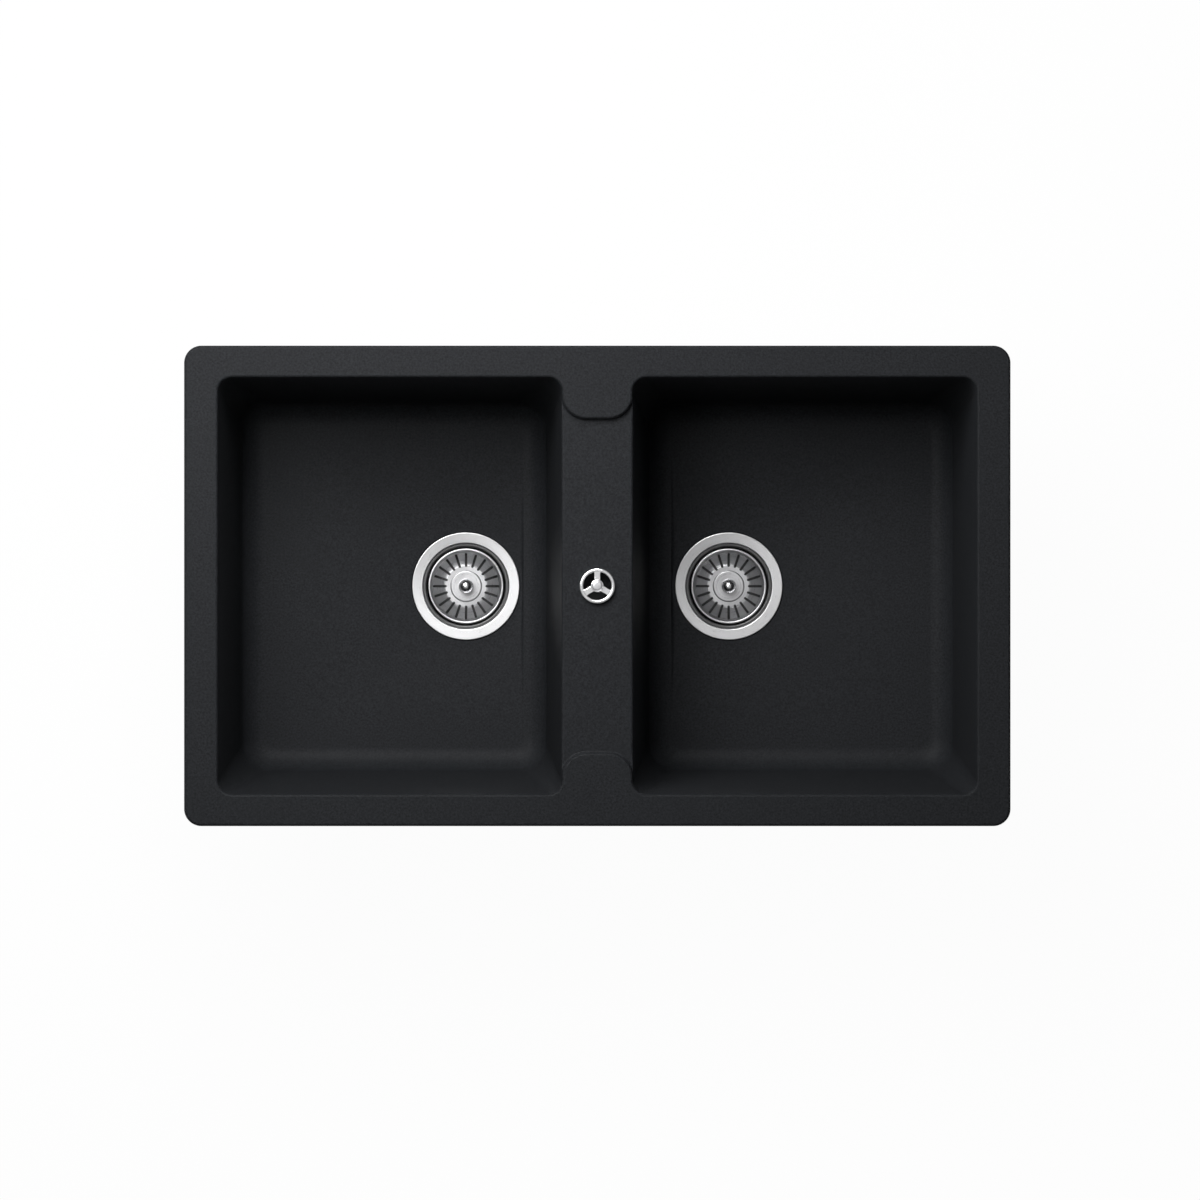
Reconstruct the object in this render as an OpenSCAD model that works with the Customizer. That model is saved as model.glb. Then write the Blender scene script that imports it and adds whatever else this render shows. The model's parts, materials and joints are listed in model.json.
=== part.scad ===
// Inset kitchen sink of granite composite with two equal bowls and two basket strainer wastes.
// A rotary knob in the lowered bridge covers the overflow and lifts the right strainer through a cable.
// X runs to the right, Y to the back and Z up. The origin is in the middle of the sink, on the
// worktop's surface, where the underside of the rim rests.

/* [Rim] */
// Overall width along X
sink_w = 860; // [840:5:900]
// Overall depth along Y
sink_d = 500; // [490:5:520]
// Height of the rim above the worktop
rim_h = 9; // [8:0.5:12]
// Outer corner radius of the rim in plan
rim_corner_r = 18; // [12:1:30]
// Round on the rim's outer upper edge
rim_round = 3; // [2:0.5:4]
// Width of the rim beside the bowls
rim_side_w = 35; // [32:1:45]
// Width of the rim behind and before the bowls
rim_end_w = 33; // [32:1:40]

/* [Bowls] */
// Depth from the rim's top to the floor at the drain
bowl_depth = 200; // [170:5:220]
// Fall of the floor from its edge to the drain
floor_fall = 4; // [2:0.5:6]
// Corner radius of the opening
bowl_corner_r = 15; // [12:1:20]
// Corner radius at the foot of the walls
foot_corner_r = 28; // [24:1:34]
// Corner radius of the flat part of the floor
floor_corner_r = 14; // [8:1:20]
// How far the side walls lean in, in plan
side_draft = 17; // [12:1:22]
// How much more the back and front walls lean in
end_draft_extra = 4; // [0:1:8]
// Radius of the cove between walls and floor
cove_r = 25; // [18:1:30]
// Round on the edges of the openings and of the bridge
edge_round = 2.6; // [2:0.1:3.5]
// Thickness of the bowl walls
wall_t = 9; // [8:0.5:10]
// Thickness of the bowl floors at the drain
floor_t = 12; // [10:0.5:15]

/* [Bridge] */
// Width of the bridge between the two openings
bridge_w = 73; // [71:1:85]
// Drop of the bridge's top below the rim's top
bridge_drop = 8; // [7.5:0.5:10]
// Thickness of the bridge
bridge_t = 12; // [10:0.5:14]
// Reach of the rim's tongues over the bridge
tongue_reach = 43; // [38:1:50]
// Corner radius of the tongues
tongue_corner_r = 26; // [20:1:30]
// Radius of the bore for the overflow collar
collar_bore_r = 17.5; // [17.5:0.1:18]
// Radius of the blind tap hole under each tongue
tap_blank_r = 17.5; // [16:0.5:18]
// Skin left over the blind tap holes
tap_skin_t = 4; // [3:0.5:6]

/* [Worktop fixing] */
// Worktop thickness that the clamps are set for
worktop_t = 38; // [28:1:42]
// Radius of the bosses that hold the clamp inserts
boss_r = 6.5; // [6:0.1:7]
// Depth of the bosses below the rim
boss_h = 10; // [9:0.5:12]
// Distance of the end clamps from the middle, along Y
end_clamp_y = 110; // [80:5:150]
// Width of a clamp bracket
bracket_w = 16; // [12:1:20]
// Thickness of the bracket's steel strip
bracket_t = 2; // [1.5:0.5:2.5]
// Reach of a bracket outwards from its screw
bracket_reach = 18; // [16:0.5:22]
// Radius of the clamp screws
clamp_screw_r = 2.45; // [2:0.05:2.9]
// Width of the sealing strip under the rim
strip_w = 6; // [4:0.5:6]
// Height of the sealing strip
strip_h = 1.6; // [1:0.1:2]

/* [Strainer wastes] */
// Distance of the drains from the middle, along X
drain_x = 140; // [138:1:150]
// Radius of the drain bore in the bowl floor
drain_bore_r = 45; // [44.5:0.1:46]
// Outer radius of the strainer flange
flange_r = 57.3; // [56:0.1:59]
// Thickness of the flange and cup sheet
cup_sheet_t = 1.2; // [1:0.1:1.4]
// Thickness of the seal under the flange
flange_seal_t = 1.2; // [0.8:0.1:2]
// Radius of the step inside the flange
step_r = 45.4; // [44.8:0.1:46]
// Depth of the ledge inside the flange
ledge_depth = 2.4; // [2:0.1:3]
// Inner radius of the cup
cup_r = 41.6; // [41.4:0.1:42]
// Depth of the cup
cup_depth = 27.6; // [26:0.1:30]
// Radius of the throat in the cup's floor
throat_r = 15.5; // [14:0.1:16.5]
// Thickness of the body seal under the bowl floor
body_seal_t = 3; // [2:0.5:4]
// Gap between the cup and the wall of the waste body
body_gap = 2.7; // [2.7:0.1:4]
// Wall thickness of the waste body
body_wall_t = 3; // [2.5:0.1:3.2]
// Depth of the straight part of the waste body below the flange
body_depth = 66; // [65:0.5:72]
// Outer radius of the outlet thread
outlet_r = 23.9; // [23:0.1:24.5]
// Inner radius of the outlet
outlet_bore_r = 20.5; // [19:0.1:21]
// Length of the outlet thread
outlet_len = 22; // [18:1:26]

/* [Strainer baskets] */
// Outer radius of the basket's rim
basket_r = 40.5; // [40:0.1:40.8]
// Thickness of the basket's sheet
basket_sheet_t = 1; // [0.8:0.1:1.2]
// Depth of the basket's rim below the flange
basket_sink = 4; // [3.5:0.1:5]
// Depth of the basket's floor below the flange
basket_depth = 19; // [18:0.1:19.5]
// Radius of the toothed plateau in the middle of the basket
plateau_r = 22.5; // [21.5:0.1:24]
// Height of the plateau above the basket's floor
plateau_h = 1.5; // [1:0.1:2]
// Rise of the basket's dish from its floor to its wall
dish_rise = 6; // [4:0.5:7]
// Radius of the raised disc under the ball knob
disc_r = 16; // [14:0.1:17]
// Height of the disc above the plateau
disc_h = 1.5; // [1:0.1:2]
// Number of slots in the basket
slot_count = 20; // [16:1:22]
// Width of a slot
slot_w = 2.6; // [2:0.1:3]
// Radius of the ball knob
ball_r = 7.8; // [7:0.1:8.5]
// Height of the ball's centre above the basket's disc
ball_h = 11; // [10:0.5:13]
// Radius of the basket's stem and of the lift pin
stem_r = 3; // [2.8:0.05:3.2]

/* [Control and overflow] */
// Outer radius of the control knob
knob_r = 18.2; // [18:0.1:19]
// Width of the knob's ring
knob_ring_w = 3.5; // [3:0.1:3.8]
// Radius of the knob's hub
hub_r = 6.6; // [6.2:0.1:7]
// Width of a spoke at its waist
spoke_w = 6; // [5:0.1:6.5]
// Radius of the spindle
spindle_r = 3; // [2.5:0.1:3.2]
// Wall thickness of the overflow collar
collar_wall_t = 2.2; // [2:0.1:2.5]
// Outer radius of the overflow housing
housing_r = 22; // [21.5:0.1:23]
// Height of the overflow housing's chamber below the collar
chamber_h = 18; // [18:0.5:22]
// Radius of the cable's pitch line on the drum
drum_r = 7; // [6.5:0.1:7.5]
// Turn of the knob from closed to open, in degrees
knob_turn = 90; // [80:1:100]
// Turn of the lift shaft from closed to open, in degrees
shaft_turn = 60; // [55:1:60]
// Radius of the lift shaft
shaft_r = 4; // [3.5:0.1:4.2]
// Radius of the crank
crank_r = 8; // [7.5:0.1:8.5]
// Outer radius of the hose spigots
spigot_r = 12; // [11.5:0.1:12.5]
// Bore radius of the spigots and of the hose
hose_bore_r = 8; // [7:0.1:8]
// Radius over the hose's ribs
rib_r = 11.4; // [11:0.1:12]
// Number of ribs on the hose
rib_count = 52; // [30:1:60]
// Radius of the cable's sheath
sheath_r = 2.5; // [2:0.1:2.5]

/* [Hidden] */
$fn = 96;

// Clearances
run_fit = 0.05;
press_gap = 0.02;
seat_gap = 0.3;
cut_over = 1;

// Segments of the moulded corners and coves
corner_steps = 6;
side_steps = 6;
cove_steps = 6;
edge_steps = 3;
bend_steps = 4;

// Heights and places of the moulding
bowl_hx = (sink_w / 2 - rim_side_w - bridge_w / 2) / 2;
bowl_hy = sink_d / 2 - rim_end_w;
bowl_x = bridge_w / 2 + bowl_hx;
bridge_z = rim_h - bridge_drop;
bridge_under_z = bridge_z - bridge_t;
drain_z = rim_h - bowl_depth;
floor_edge_z = drain_z + floor_fall;
floor_under_z = drain_z - floor_t;
wall_angle = atan(side_draft / (rim_h - edge_round - floor_edge_z - cove_r));
floor_inset = side_draft + cove_r * cos(wall_angle);
recess_r = flange_r + 1;
recess_depth = cup_sheet_t + flange_seal_t;
countersink_h = 4;
tongue_overlap = 0.6;
tongue_x = bridge_w / 2 - tongue_corner_r + tongue_overlap;
tongue_y = bowl_hy - tongue_reach + tongue_corner_r;
bowl_overreach = 8;
edge_runout = 14;
web_end_gap = 14;
tap_blank_y = bowl_hy - 12;
strip_margin = 4;

// Clamp places: boss centres just outside the bowl walls
boss_offset = wall_t + boss_r - 1;
insert_r = boss_r - 2.5;
insert_len = boss_h - 1.5;
bracket_z = -worktop_t - 5.5;
clamp_places = [
    for (sx = [-1, 1]) each [
        [sx * bowl_x, bowl_hy + boss_offset, 90],
        [sx * bowl_x, -bowl_hy - boss_offset, -90],
        [sx * (bowl_x + bowl_hx + boss_offset), end_clamp_y, sx > 0 ? 0 : 180],
        [sx * (bowl_x + bowl_hx + boss_offset), -end_clamp_y, sx > 0 ? 0 : 180]
    ]
];

// Levels of a waste, counted from the top of its flange
body_top = -floor_t - body_seal_t;
cup_floor = -cup_depth;
cup_under = cup_floor - cup_sheet_t;
body_r = cup_r + cup_sheet_t + body_gap + body_wall_t;
hub_top = cup_under - 1;
hub_bottom = -46;
hub_body_r = 11;
nut_r = hub_body_r - 3;
nut_h = 10;
bolt_r = 4.95;
bolt_head_r = 7.2;
bolt_head_h = 2.8;
bolt_end = hub_bottom + 1;
body_taper_h = 10;
body_flange_r = drain_bore_r + 9;
outlet_top = -body_depth - body_taper_h;
outlet_end = outlet_top - outlet_len;
port_level = -46;
port_end = 64;

// Levels of a basket and its stem
basket_disc_top = plateau_h + disc_h - basket_depth;
stem_flange_top = basket_disc_top - basket_sheet_t - 4;
stem_flange_t = 1.5;
stem_flange_r = 17;
stem_hub_r = 8;
stem_hub_h = 1.7;
stem_end = -34;
seal_outer_r = throat_r + 4;
seal_top = stem_flange_top - stem_flange_t;
slot_in_r = plateau_r - 2;
basket_floor_r = basket_r - 4.9;
dish_bend_r = plateau_r + 7.5;
dish_foot_rise = 1.2;
slot_out_r = basket_floor_r - 0.1;

// Lift: the crank swings evenly about the horizontal and pushes the pin by its chord
lift = 2 * crank_r * sin(shaft_turn / 2);
finger_r = 2.5;
pin_foot_r = 4.5;
pin_foot_t = 2;
pin_top = stem_end - seat_gap;
pin_foot = hub_bottom - lift - 4;
shaft_level = pin_foot - seat_gap - finger_r + lift / 2;
shaft_y = -crank_r + 0.5;
web_in_x = 5;
web_t = 4;
boss_in_x = body_r - 6.5;
boss_out_x = 60;
boss_body_r = shaft_r + 4.5;
port_flange_t = 6;
box_r = 17;
box_wall_t = 2.5;
box_len = 14;
box_cover_t = 2;
lug_r = 3.4;
lug_place_r = box_r + 1;
lug_angle = 135;
small_screw_r = 1.45;
pulley_r = drum_r * knob_turn / shaft_turn;
pulley_in_x = boss_out_x + 4;
pulley_w = 7;
wire_r = 0.7;
wire_gap = 0.1;
groove_depth = 2.5;

// Levels of the control under the knob
collar_seal_t = 0.6;
collar_flange_t = 1;
collar_r = collar_bore_r - seat_gap;
collar_flange_r = knob_r + 0.2;
collar_top = bridge_z + collar_seal_t + collar_flange_t;
knob_z = collar_top + seat_gap;
knob_ring_h = 4.3;
hub_h = 5.7;
hub_top_z = knob_z + hub_h;
spoke_t = 2.6;
cap_r = 5.5;
cap_recess = 1.6;
cap_t = 0.8;
knob_screw_len = 9;
housing_seal_t = 2;
housing_top = bridge_under_z - housing_seal_t;
housing_flange_r = housing_r + 3;
housing_flange_t = 3;
neck_h = 13;
chamber_top = housing_top - neck_h;
chamber_floor = chamber_top - chamber_h;
housing_floor_t = 3;
housing_bottom = chamber_floor - housing_floor_t;
collar_end = chamber_top + 2;
spider_top = bridge_z - 2;
spider_h = 5;
spider_arm_w = 2.5;
bearing_r = spindle_r + 2.5;
spindle_boss_r = spindle_r + 4;
spindle_boss_h = 7;
drum_top = housing_bottom - 1.2;
drum_h = 9;
drum_level = drum_top - drum_h / 2;
drum_box_r = 15;
drum_box_h = 15.5;
drum_lug_place_r = (collar_r + housing_r) / 2;
drum_screw_bite = 5;
o_ring_seat_h = 2.2;
o_ring_seat_w = 2.2;
spindle_top = knob_z + 3.6;
spindle_end = drum_top - drum_h - 2;
clip_t = 0.8;
spigot_level = chamber_floor + hose_bore_r + 0.5;
spigot_end = 38;

// Cable ends: ferrules stand on bosses of the drum box and of the actuator box
ferrule_r = sheath_r + 0.7;
ferrule_len = 20;
ferrule_hold = 8;
ferrule_boss_r = ferrule_r + 2.3;
cable_nut_h = 3;
drum_boss_end = 20;
actuator_boss_end = 20;
actuator_x = drain_x - pulley_in_x - pulley_w / 2;
actuator_z = drain_z + shaft_level - pulley_r;
cable_start = [drum_r, drum_boss_end + ferrule_len / 2 - ferrule_hold, drum_level];
cable_end = [actuator_x, shaft_y + actuator_boss_end + ferrule_len / 2 - ferrule_hold, actuator_z];
cable_route = [
    cable_start,
    cable_start + [0, 16, 0],
    [7, 60, -70],
    [7, 66, -110],
    [7, 68, actuator_z + 88],
    [12, 74, actuator_z + 38],
    [36, 84, actuator_z + 6],
    [62, 72, actuator_z + 1],
    cable_end + [0, 22, 0],
    cable_end
];
cable_sides = 8;
cable_ring_step = 5.5;

// Hose ends: flanged cuffs held on the spigots by union nuts
hose_washer_t = 1.5;
hose_flange_t = 2.5;
hose_flange_r = spigot_r - 0.2;
cuff_r = rib_r - 0.8;
cuff_len = 22;
hose_nut_r = spigot_r + 2.8;
hose_nut_len = 17;
hose_lip_t = 2.5;
hose_start = [0, -spigot_end - hose_washer_t, spigot_level];
hose_end = [port_end + hose_washer_t - drain_x, 0, drain_z + port_level];
hose_route = [
    hose_start,
    hose_start + [0, -23, 0],
    [0, -88, -58],
    [0, -96, -90],
    [0, -96, hose_end[2] + 87],
    [0, -90, hose_end[2] + 42],
    [-2, -64, hose_end[2] + 11],
    [-14, -28, hose_end[2] + 1],
    [-34, -6, hose_end[2] - 1],
    hose_end + [24, 0, 0],
    hose_end
];
hose_sides = 8;
bore_ring_step = 8;
rib_depth = 1.8;
spline_steps = 10;

// Vector helpers
function unit(v) = v / norm(v);
function reversed(list) = [for (i = [len(list) - 1:-1:0]) list[i]];
function arc_points(cx, cy, r, from, to, steps) =
    [for (i = [0:steps]) let (a = from + (to - from) * i / steps) [cx + r * cos(a), cy + r * sin(a)]];

// Rounded rectangle at height z, counterclockwise, with extra points along its sides
function corner_arc(c, hx, hy, r) =
    let (sx = (c == 0 || c == 3) ? 1 : -1, sy = c < 2 ? 1 : -1)
    arc_points(sx * (hx - r), sy * (hy - r), r, 90 * c, 90 * c + 90, corner_steps);
function rounded_ring(cx, hx, hy, r, z, side_parts = 1) =
    [for (c = [0:3])
        let (
            corner = corner_arc(c, hx, hy, r),
            last = corner[corner_steps],
            next = corner_arc((c + 1) % 4, hx, hy, r)[0],
            side = [for (i = [1:1:side_parts - 1]) last + (next - last) * i / side_parts]
        )
        for (p = concat(corner, side)) [cx + p[0], p[1], z]];

// Closed solid through a stack of rings with equal numbers of points, lowest ring first
module loft(rings) {
    n = len(rings[0]);
    top = (len(rings) - 1) * n;
    sides = [for (k = [0:len(rings) - 2]) for (i = [0:n - 1])
        let (a = k * n + i, b = k * n + (i + 1) % n) each [[a, a + n, b + n], [a, b + n, b]]];
    polyhedron(
        points = [for (ring = rings) each ring],
        faces = concat([[for (i = [0:n - 1]) i]], sides, [[for (i = [n - 1:-1:0]) top + i]])
    );
}

// Round one corner of a path: a, b and c are its points, r the bend radius at b
function bend(a, b, c, r) =
    let (
        u = unit(a - b),
        v = unit(c - b),
        half = acos(u * v) / 2,
        centre = b + unit(u + v) * r / sin(half),
        from = b + u * r / tan(half) - centre,
        to = b + v * r / tan(half) - centre,
        a0 = atan2(from[1], from[0]),
        swing = atan2(to[1], to[0]) - a0,
        turn = swing > 180 ? swing - 360 : (swing < -180 ? swing + 360 : swing)
    )
    arc_points(centre[0], centre[1], r, a0, a0 + turn, bend_steps);

// Path with rounded corners, from points given as [x, y, bend radius]
function bent_path(points) =
    [for (i = [0:len(points) - 1])
        let (b = [points[i][0], points[i][1]], r = points[i][2])
        each (r == 0
            ? [b]
            : bend([points[i - 1][0], points[i - 1][1]], b, [points[i + 1][0], points[i + 1][1]], r))];

// Path moved sideways by d, to the left of its direction
function moved_path(path, d) =
    [for (i = [0:len(path) - 1])
        let (
            before = unit(path[max(i, 1)] - path[max(i, 1) - 1]),
            after = unit(path[min(i + 1, len(path) - 1)] - path[min(i, len(path) - 2)]),
            mean = unit(before + after),
            normal = [-mean[1], mean[0]]
        )
        path[i] + normal * d / (mean * after)];

// Outline of a bent sheet of thickness t about its middle line
function sheet_outline(path, t) = concat(moved_path(path, t / 2), reversed(moved_path(path, -t / 2)));

// Smooth route with straight ends: its first and last stretches are straight
function spline(a, b, c, d, t) =
    0.5 * (2 * b + (c - a) * t + (2 * a - 5 * b + 4 * c - d) * t * t + (3 * b - a - 3 * c + d) * t * t * t);
function route_points(p) =
    let (
        last = len(p) - 1,
        before = p[2] - 2 * norm(p[2] - p[1]) * unit(p[1] - p[0]),
        after = p[last - 2] + 2 * norm(p[last - 2] - p[last - 1]) * unit(p[last] - p[last - 1])
    )
    concat(
        [p[0]],
        [for (k = [1:last - 2]) for (i = [0:spline_steps - 1])
            spline(k == 1 ? before : p[k - 1], p[k], p[k + 1], k == last - 2 ? after : p[k + 2],
                i / spline_steps)],
        [p[last - 1], p[last]]
    );
function lengths_along(p) =
    [for (i = 0, s = 0; i < len(p); i = i + 1, s = i < len(p) ? s + norm(p[i] - p[i - 1]) : s) s];

// Rings of a tube along a route, one for each [distance, radius] station
function tube_rings(p, stations, sides) =
    let (
        s = lengths_along(p),
        xs = [for (i = [0:len(p) - 1]) [s[i], p[i][0]]],
        ys = [for (i = [0:len(p) - 1]) [s[i], p[i][1]]],
        zs = [for (i = [0:len(p) - 1]) [s[i], p[i][2]]],
        total = s[len(s) - 1],
        at = [for (q = stations) [lookup(q[0], xs), lookup(q[0], ys), lookup(q[0], zs)]],
        ways = [for (q = stations)
            let (a = max(q[0] - 1, 0), b = min(q[0] + 1, total))
            unit([for (axis = [xs, ys, zs]) lookup(b, axis) - lookup(a, axis)])],
        normals = [for (
            i = 0, n = unit(cross(ways[0], [1, 1, 1]));
            i < len(stations);
            i = i + 1, n = i < len(stations) ? unit(n - (n * ways[i]) * ways[i]) : n) n]
    )
    [for (i = [0:len(stations) - 1])
        let (n = normals[i], b = cross(ways[i], n))
        [for (k = [0:sides - 1])
            at[i] + stations[i][1] * (cos(360 * k / sides) * n + sin(360 * k / sides) * b)]];

// Tube with a bore: outer and inner rings share their first and last planes
module tube_shell(outer, inner) {
    n = len(outer[0]);
    base = len(outer) * n;
    out_top = base - n;
    in_top = base + (len(inner) - 1) * n;
    function skin(start, count, outward) =
        [for (k = [0:count - 2]) for (i = [0:n - 1])
            let (a = start + k * n + i, b = start + k * n + (i + 1) % n)
            each (outward ? [[a, a + n, b + n], [a, b + n, b]] : [[a, b + n, a + n], [a, b, b + n]])];
    function end_face(o, i0, flip) =
        [for (i = [0:n - 1])
            let (j = (i + 1) % n)
            each (flip
                ? [[o + i, i0 + i, i0 + j], [o + i, i0 + j, o + j]]
                : [[o + i, o + j, i0 + j], [o + i, i0 + j, i0 + i]])];
    polyhedron(
        points = concat([for (ring = outer) each ring], [for (ring = inner) each ring]),
        faces = concat(
            skin(0, len(outer), true),
            skin(base, len(inner), false),
            end_face(0, base, false),
            end_face(out_top, in_top, true)
        )
    );
}

module mirrored_pair() {
    children();
    mirror([1, 0, 0]) children();
}

module at_left_waste() {
    translate([-drain_x, 0, drain_z]) children();
}

// The right waste is the mirror image: local X points to the middle of the sink in both
module at_right_waste() {
    translate([drain_x, 0, drain_z]) mirror([1, 0, 0]) children();
}

// Level ring between two radii, from z0 up to z1
module ring(inner_r, outer_r, z0, z1) {
    rotate_extrude() translate([inner_r, z0]) square([outer_r - inner_r, z1 - z0]);
}

// Torus of a seal ring about Z
module o_ring(middle_r, cord_r) {
    rotate_extrude() translate([middle_r, 0]) circle(r = cord_r, $fn = 32);
}

// Flat rounded rectangle in plan
module rounded_square(hx, hy, r) {
    square([2 * hx, 2 * (hy - r)], center = true);
    square([2 * (hx - r), 2 * hy], center = true);
    for (sx = [-1, 1], sy = [-1, 1]) translate([sx * (hx - r), sy * (hy - r)]) circle(r = r);
}

// Sink moulding

function plate_ring(inset, z) =
    rounded_ring(0, sink_w / 2 - inset, sink_d / 2 - inset, rim_corner_r - inset, z);
plate_rings = concat(
    [plate_ring(0.8, 0), plate_ring(0, 0.8)],
    [for (p = arc_points(-rim_round, rim_h - rim_round, rim_round, 0, 90, edge_steps + 1))
        plate_ring(-p[0], p[1])]
);

// One level of the right bowl: inset from the opening, extra inset at the ends, corner radius
function bowl_ring(inset, extra, r, z, parts) =
    rounded_ring(bowl_x, bowl_hx - inset, bowl_hy - inset - extra, r, z, parts);
function cove_angle(i) = 90 - (90 - wall_angle) * i / cove_steps;

// Round ring about the drain with as many points as a bowl ring
function drain_ring(z) =
    let (n = 4 * (corner_steps + side_steps))
    [for (i = [0:n - 1])
        let (a = 45 + (i - corner_steps / 2) * 360 / n)
        [drain_x + (recess_r + 2) * cos(a), (recess_r + 2) * sin(a), z]];

cavity_rings = concat(
    [drain_ring(drain_z)],
    [for (i = [0:cove_steps])
        let (a = cove_angle(i), inset = floor_inset - cove_r * cos(a), share = (inset - side_draft) /
            (floor_inset - side_draft))
        bowl_ring(inset, end_draft_extra, foot_corner_r + (floor_corner_r - foot_corner_r) * share,
            floor_edge_z + cove_r * (1 - sin(a)), side_steps)],
    [for (i = [0:edge_steps])
        let (a = 90 * i / edge_steps, out = edge_round * (1 - cos(a)))
        bowl_ring(-out, 0, bowl_corner_r + out, rim_h - edge_round * (1 - sin(a)), side_steps)],
    [bowl_ring(-edge_round, 0, bowl_corner_r + edge_round, rim_h + cut_over, side_steps)],
    [drain_ring(rim_h + 2 * cut_over)]
);

outer_cove_r = cove_r + wall_t;
shell_rings = concat(
    [for (i = [0:cove_steps])
        let (a = cove_angle(i), inset = floor_inset - outer_cove_r * cos(a))
        bowl_ring(inset, end_draft_extra,
            foot_corner_r + wall_t - (foot_corner_r - floor_corner_r) * (1 - i / cove_steps),
            floor_under_z + outer_cove_r * (1 - sin(a)), 1)],
    [bowl_ring(-wall_t, 0, bowl_corner_r + wall_t, rim_h / 2, 1)]
);

// Side of a tongue over the bridge, counted from the centre of its corners: cove at the foot,
// upright face and round at the top. Its first and last chords run on past the space cut out.
chord_run = cut_over / tan(45 / edge_steps);
tongue_side = concat(
    [[0, bridge_z - cut_over], [tongue_corner_r + edge_round + chord_run, bridge_z - cut_over]],
    [for (i = [1:edge_steps])
        let (a = 90 * i / edge_steps)
        [tongue_corner_r + edge_round * (1 - sin(a)), bridge_z + edge_round * (1 - cos(a))]],
    [for (i = [0:edge_steps - 1])
        let (a = 90 * i / edge_steps)
        [tongue_corner_r - edge_round * (1 - cos(a)), rim_h - edge_round * (1 - sin(a))]],
    [
        [tongue_corner_r - edge_round - 2 * chord_run, rim_h + 2 * cut_over],
        [0, rim_h + 2 * cut_over]
    ]
);

// Space over the lowered bridge, between the tongues and reaching into both bowls
module bridge_space() {
    half_w = bridge_w / 2 + bowl_overreach;
    half_d = tongue_y - 1;
    difference() {
        translate([-half_w, -half_d, bridge_z]) cube([2 * half_w, 2 * half_d, bridge_drop + cut_over]);
        for (turn = [0, 180]) rotate([0, 0, turn]) {
            translate([tongue_x, tongue_y, 0]) rotate([90, 0, -90])
                linear_extrude(2 * tongue_x) polygon(tongue_side);
            mirrored_pair() translate([tongue_x, tongue_y, 0])
                rotate_extrude(angle = 120, start = -90) polygon(tongue_side);
        }
    }
}

// Round along the bridge's right edge, running out towards the tongues
bridge_edge_x = bridge_w / 2 + (bridge_drop - edge_round) * tan(wall_angle);
function bridge_edge_ring(r, y) =
    let (cx = bridge_edge_x - r * (1 - sin(wall_angle)) / cos(wall_angle), cz = bridge_z - r)
    concat(
        [for (p = arc_points(cx, cz, r, 90, wall_angle, edge_steps)) [p[0], y, p[1]]],
        [[bridge_edge_x + 2, y, cz + r * sin(wall_angle)], [bridge_edge_x + 2, y, bridge_z + cut_over],
            [cx, y, bridge_z + cut_over]]
    );
edge_end_y = tongue_y - tongue_corner_r / 2 + 1;
bridge_edge_rings = [
    for (s = [[-1, 0.3, 0], [-1, edge_round, edge_runout], [1, edge_round, edge_runout], [1, 0.3, 0]])
        bridge_edge_ring(s[1], s[0] * (edge_end_y - s[2]))
];

module drain_cuts() {
    translate([drain_x, 0, 0]) {
        translate([0, 0, floor_under_z - cut_over]) cylinder(r = drain_bore_r, h = floor_t + 2 * cut_over);
        translate([0, 0, drain_z - recess_depth]) cylinder(r = recess_r, h = recess_depth + floor_fall);
        translate([0, 0, drain_z - recess_depth - countersink_h])
            cylinder(r1 = drain_bore_r, r2 = drain_bore_r + countersink_h, h = countersink_h);
    }
}

module strip_plan(clearance) {
    hx = sink_w / 2 - strip_margin + clearance;
    hy = sink_d / 2 - strip_margin + clearance;
    r = rim_corner_r - strip_margin;
    inner = strip_w + 2 * clearance;
    difference() {
        rounded_square(hx, hy, r + clearance);
        rounded_square(hx - inner, hy - inner, r - strip_w + 2);
    }
}

module sink_moulding() {
    web_half_w = bridge_w / 2 - 3;
    web_half_d = sink_d / 2 - web_end_gap;
    color("#26272a") difference() {
        union() {
            loft(plate_rings);
            mirrored_pair() loft(shell_rings);
            translate([-web_half_w, -web_half_d, bridge_under_z])
                cube([2 * web_half_w, 2 * web_half_d, rim_h / 2 - bridge_under_z]);
            for (p = clamp_places) translate([p[0], p[1], -boss_h])
                cylinder(r = boss_r, h = boss_h + rim_h / 4);
        }
        mirrored_pair() loft(cavity_rings);
        bridge_space();
        mirrored_pair() loft(reversed(bridge_edge_rings));
        mirrored_pair() drain_cuts();
        translate([0, 0, bridge_under_z - cut_over]) cylinder(r = collar_bore_r, h = bridge_t + 2 * cut_over);
        for (sy = [-1, 1]) translate([0, sy * tap_blank_y, bridge_under_z - cut_over])
            cylinder(r = tap_blank_r, h = rim_h - tap_skin_t - bridge_under_z + cut_over);
        for (p = clamp_places) translate([p[0], p[1], -boss_h - cut_over])
            cylinder(r = insert_r + run_fit, h = insert_len + cut_over);
        translate([0, 0, -cut_over]) linear_extrude(strip_h + cut_over) strip_plan(run_fit);
    }
}

module rim_seal_strip() {
    color("#1b1b1c") linear_extrude(strip_h) strip_plan(0);
}

// Worktop clamps

module at_clamps() {
    for (p = clamp_places) translate([p[0], p[1], 0]) rotate([0, 0, p[2]]) children();
}

module clamp_inserts() {
    color("#b08d3e") at_clamps() ring(clamp_screw_r + run_fit, insert_r, -boss_h, insert_len - boss_h);
}

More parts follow.
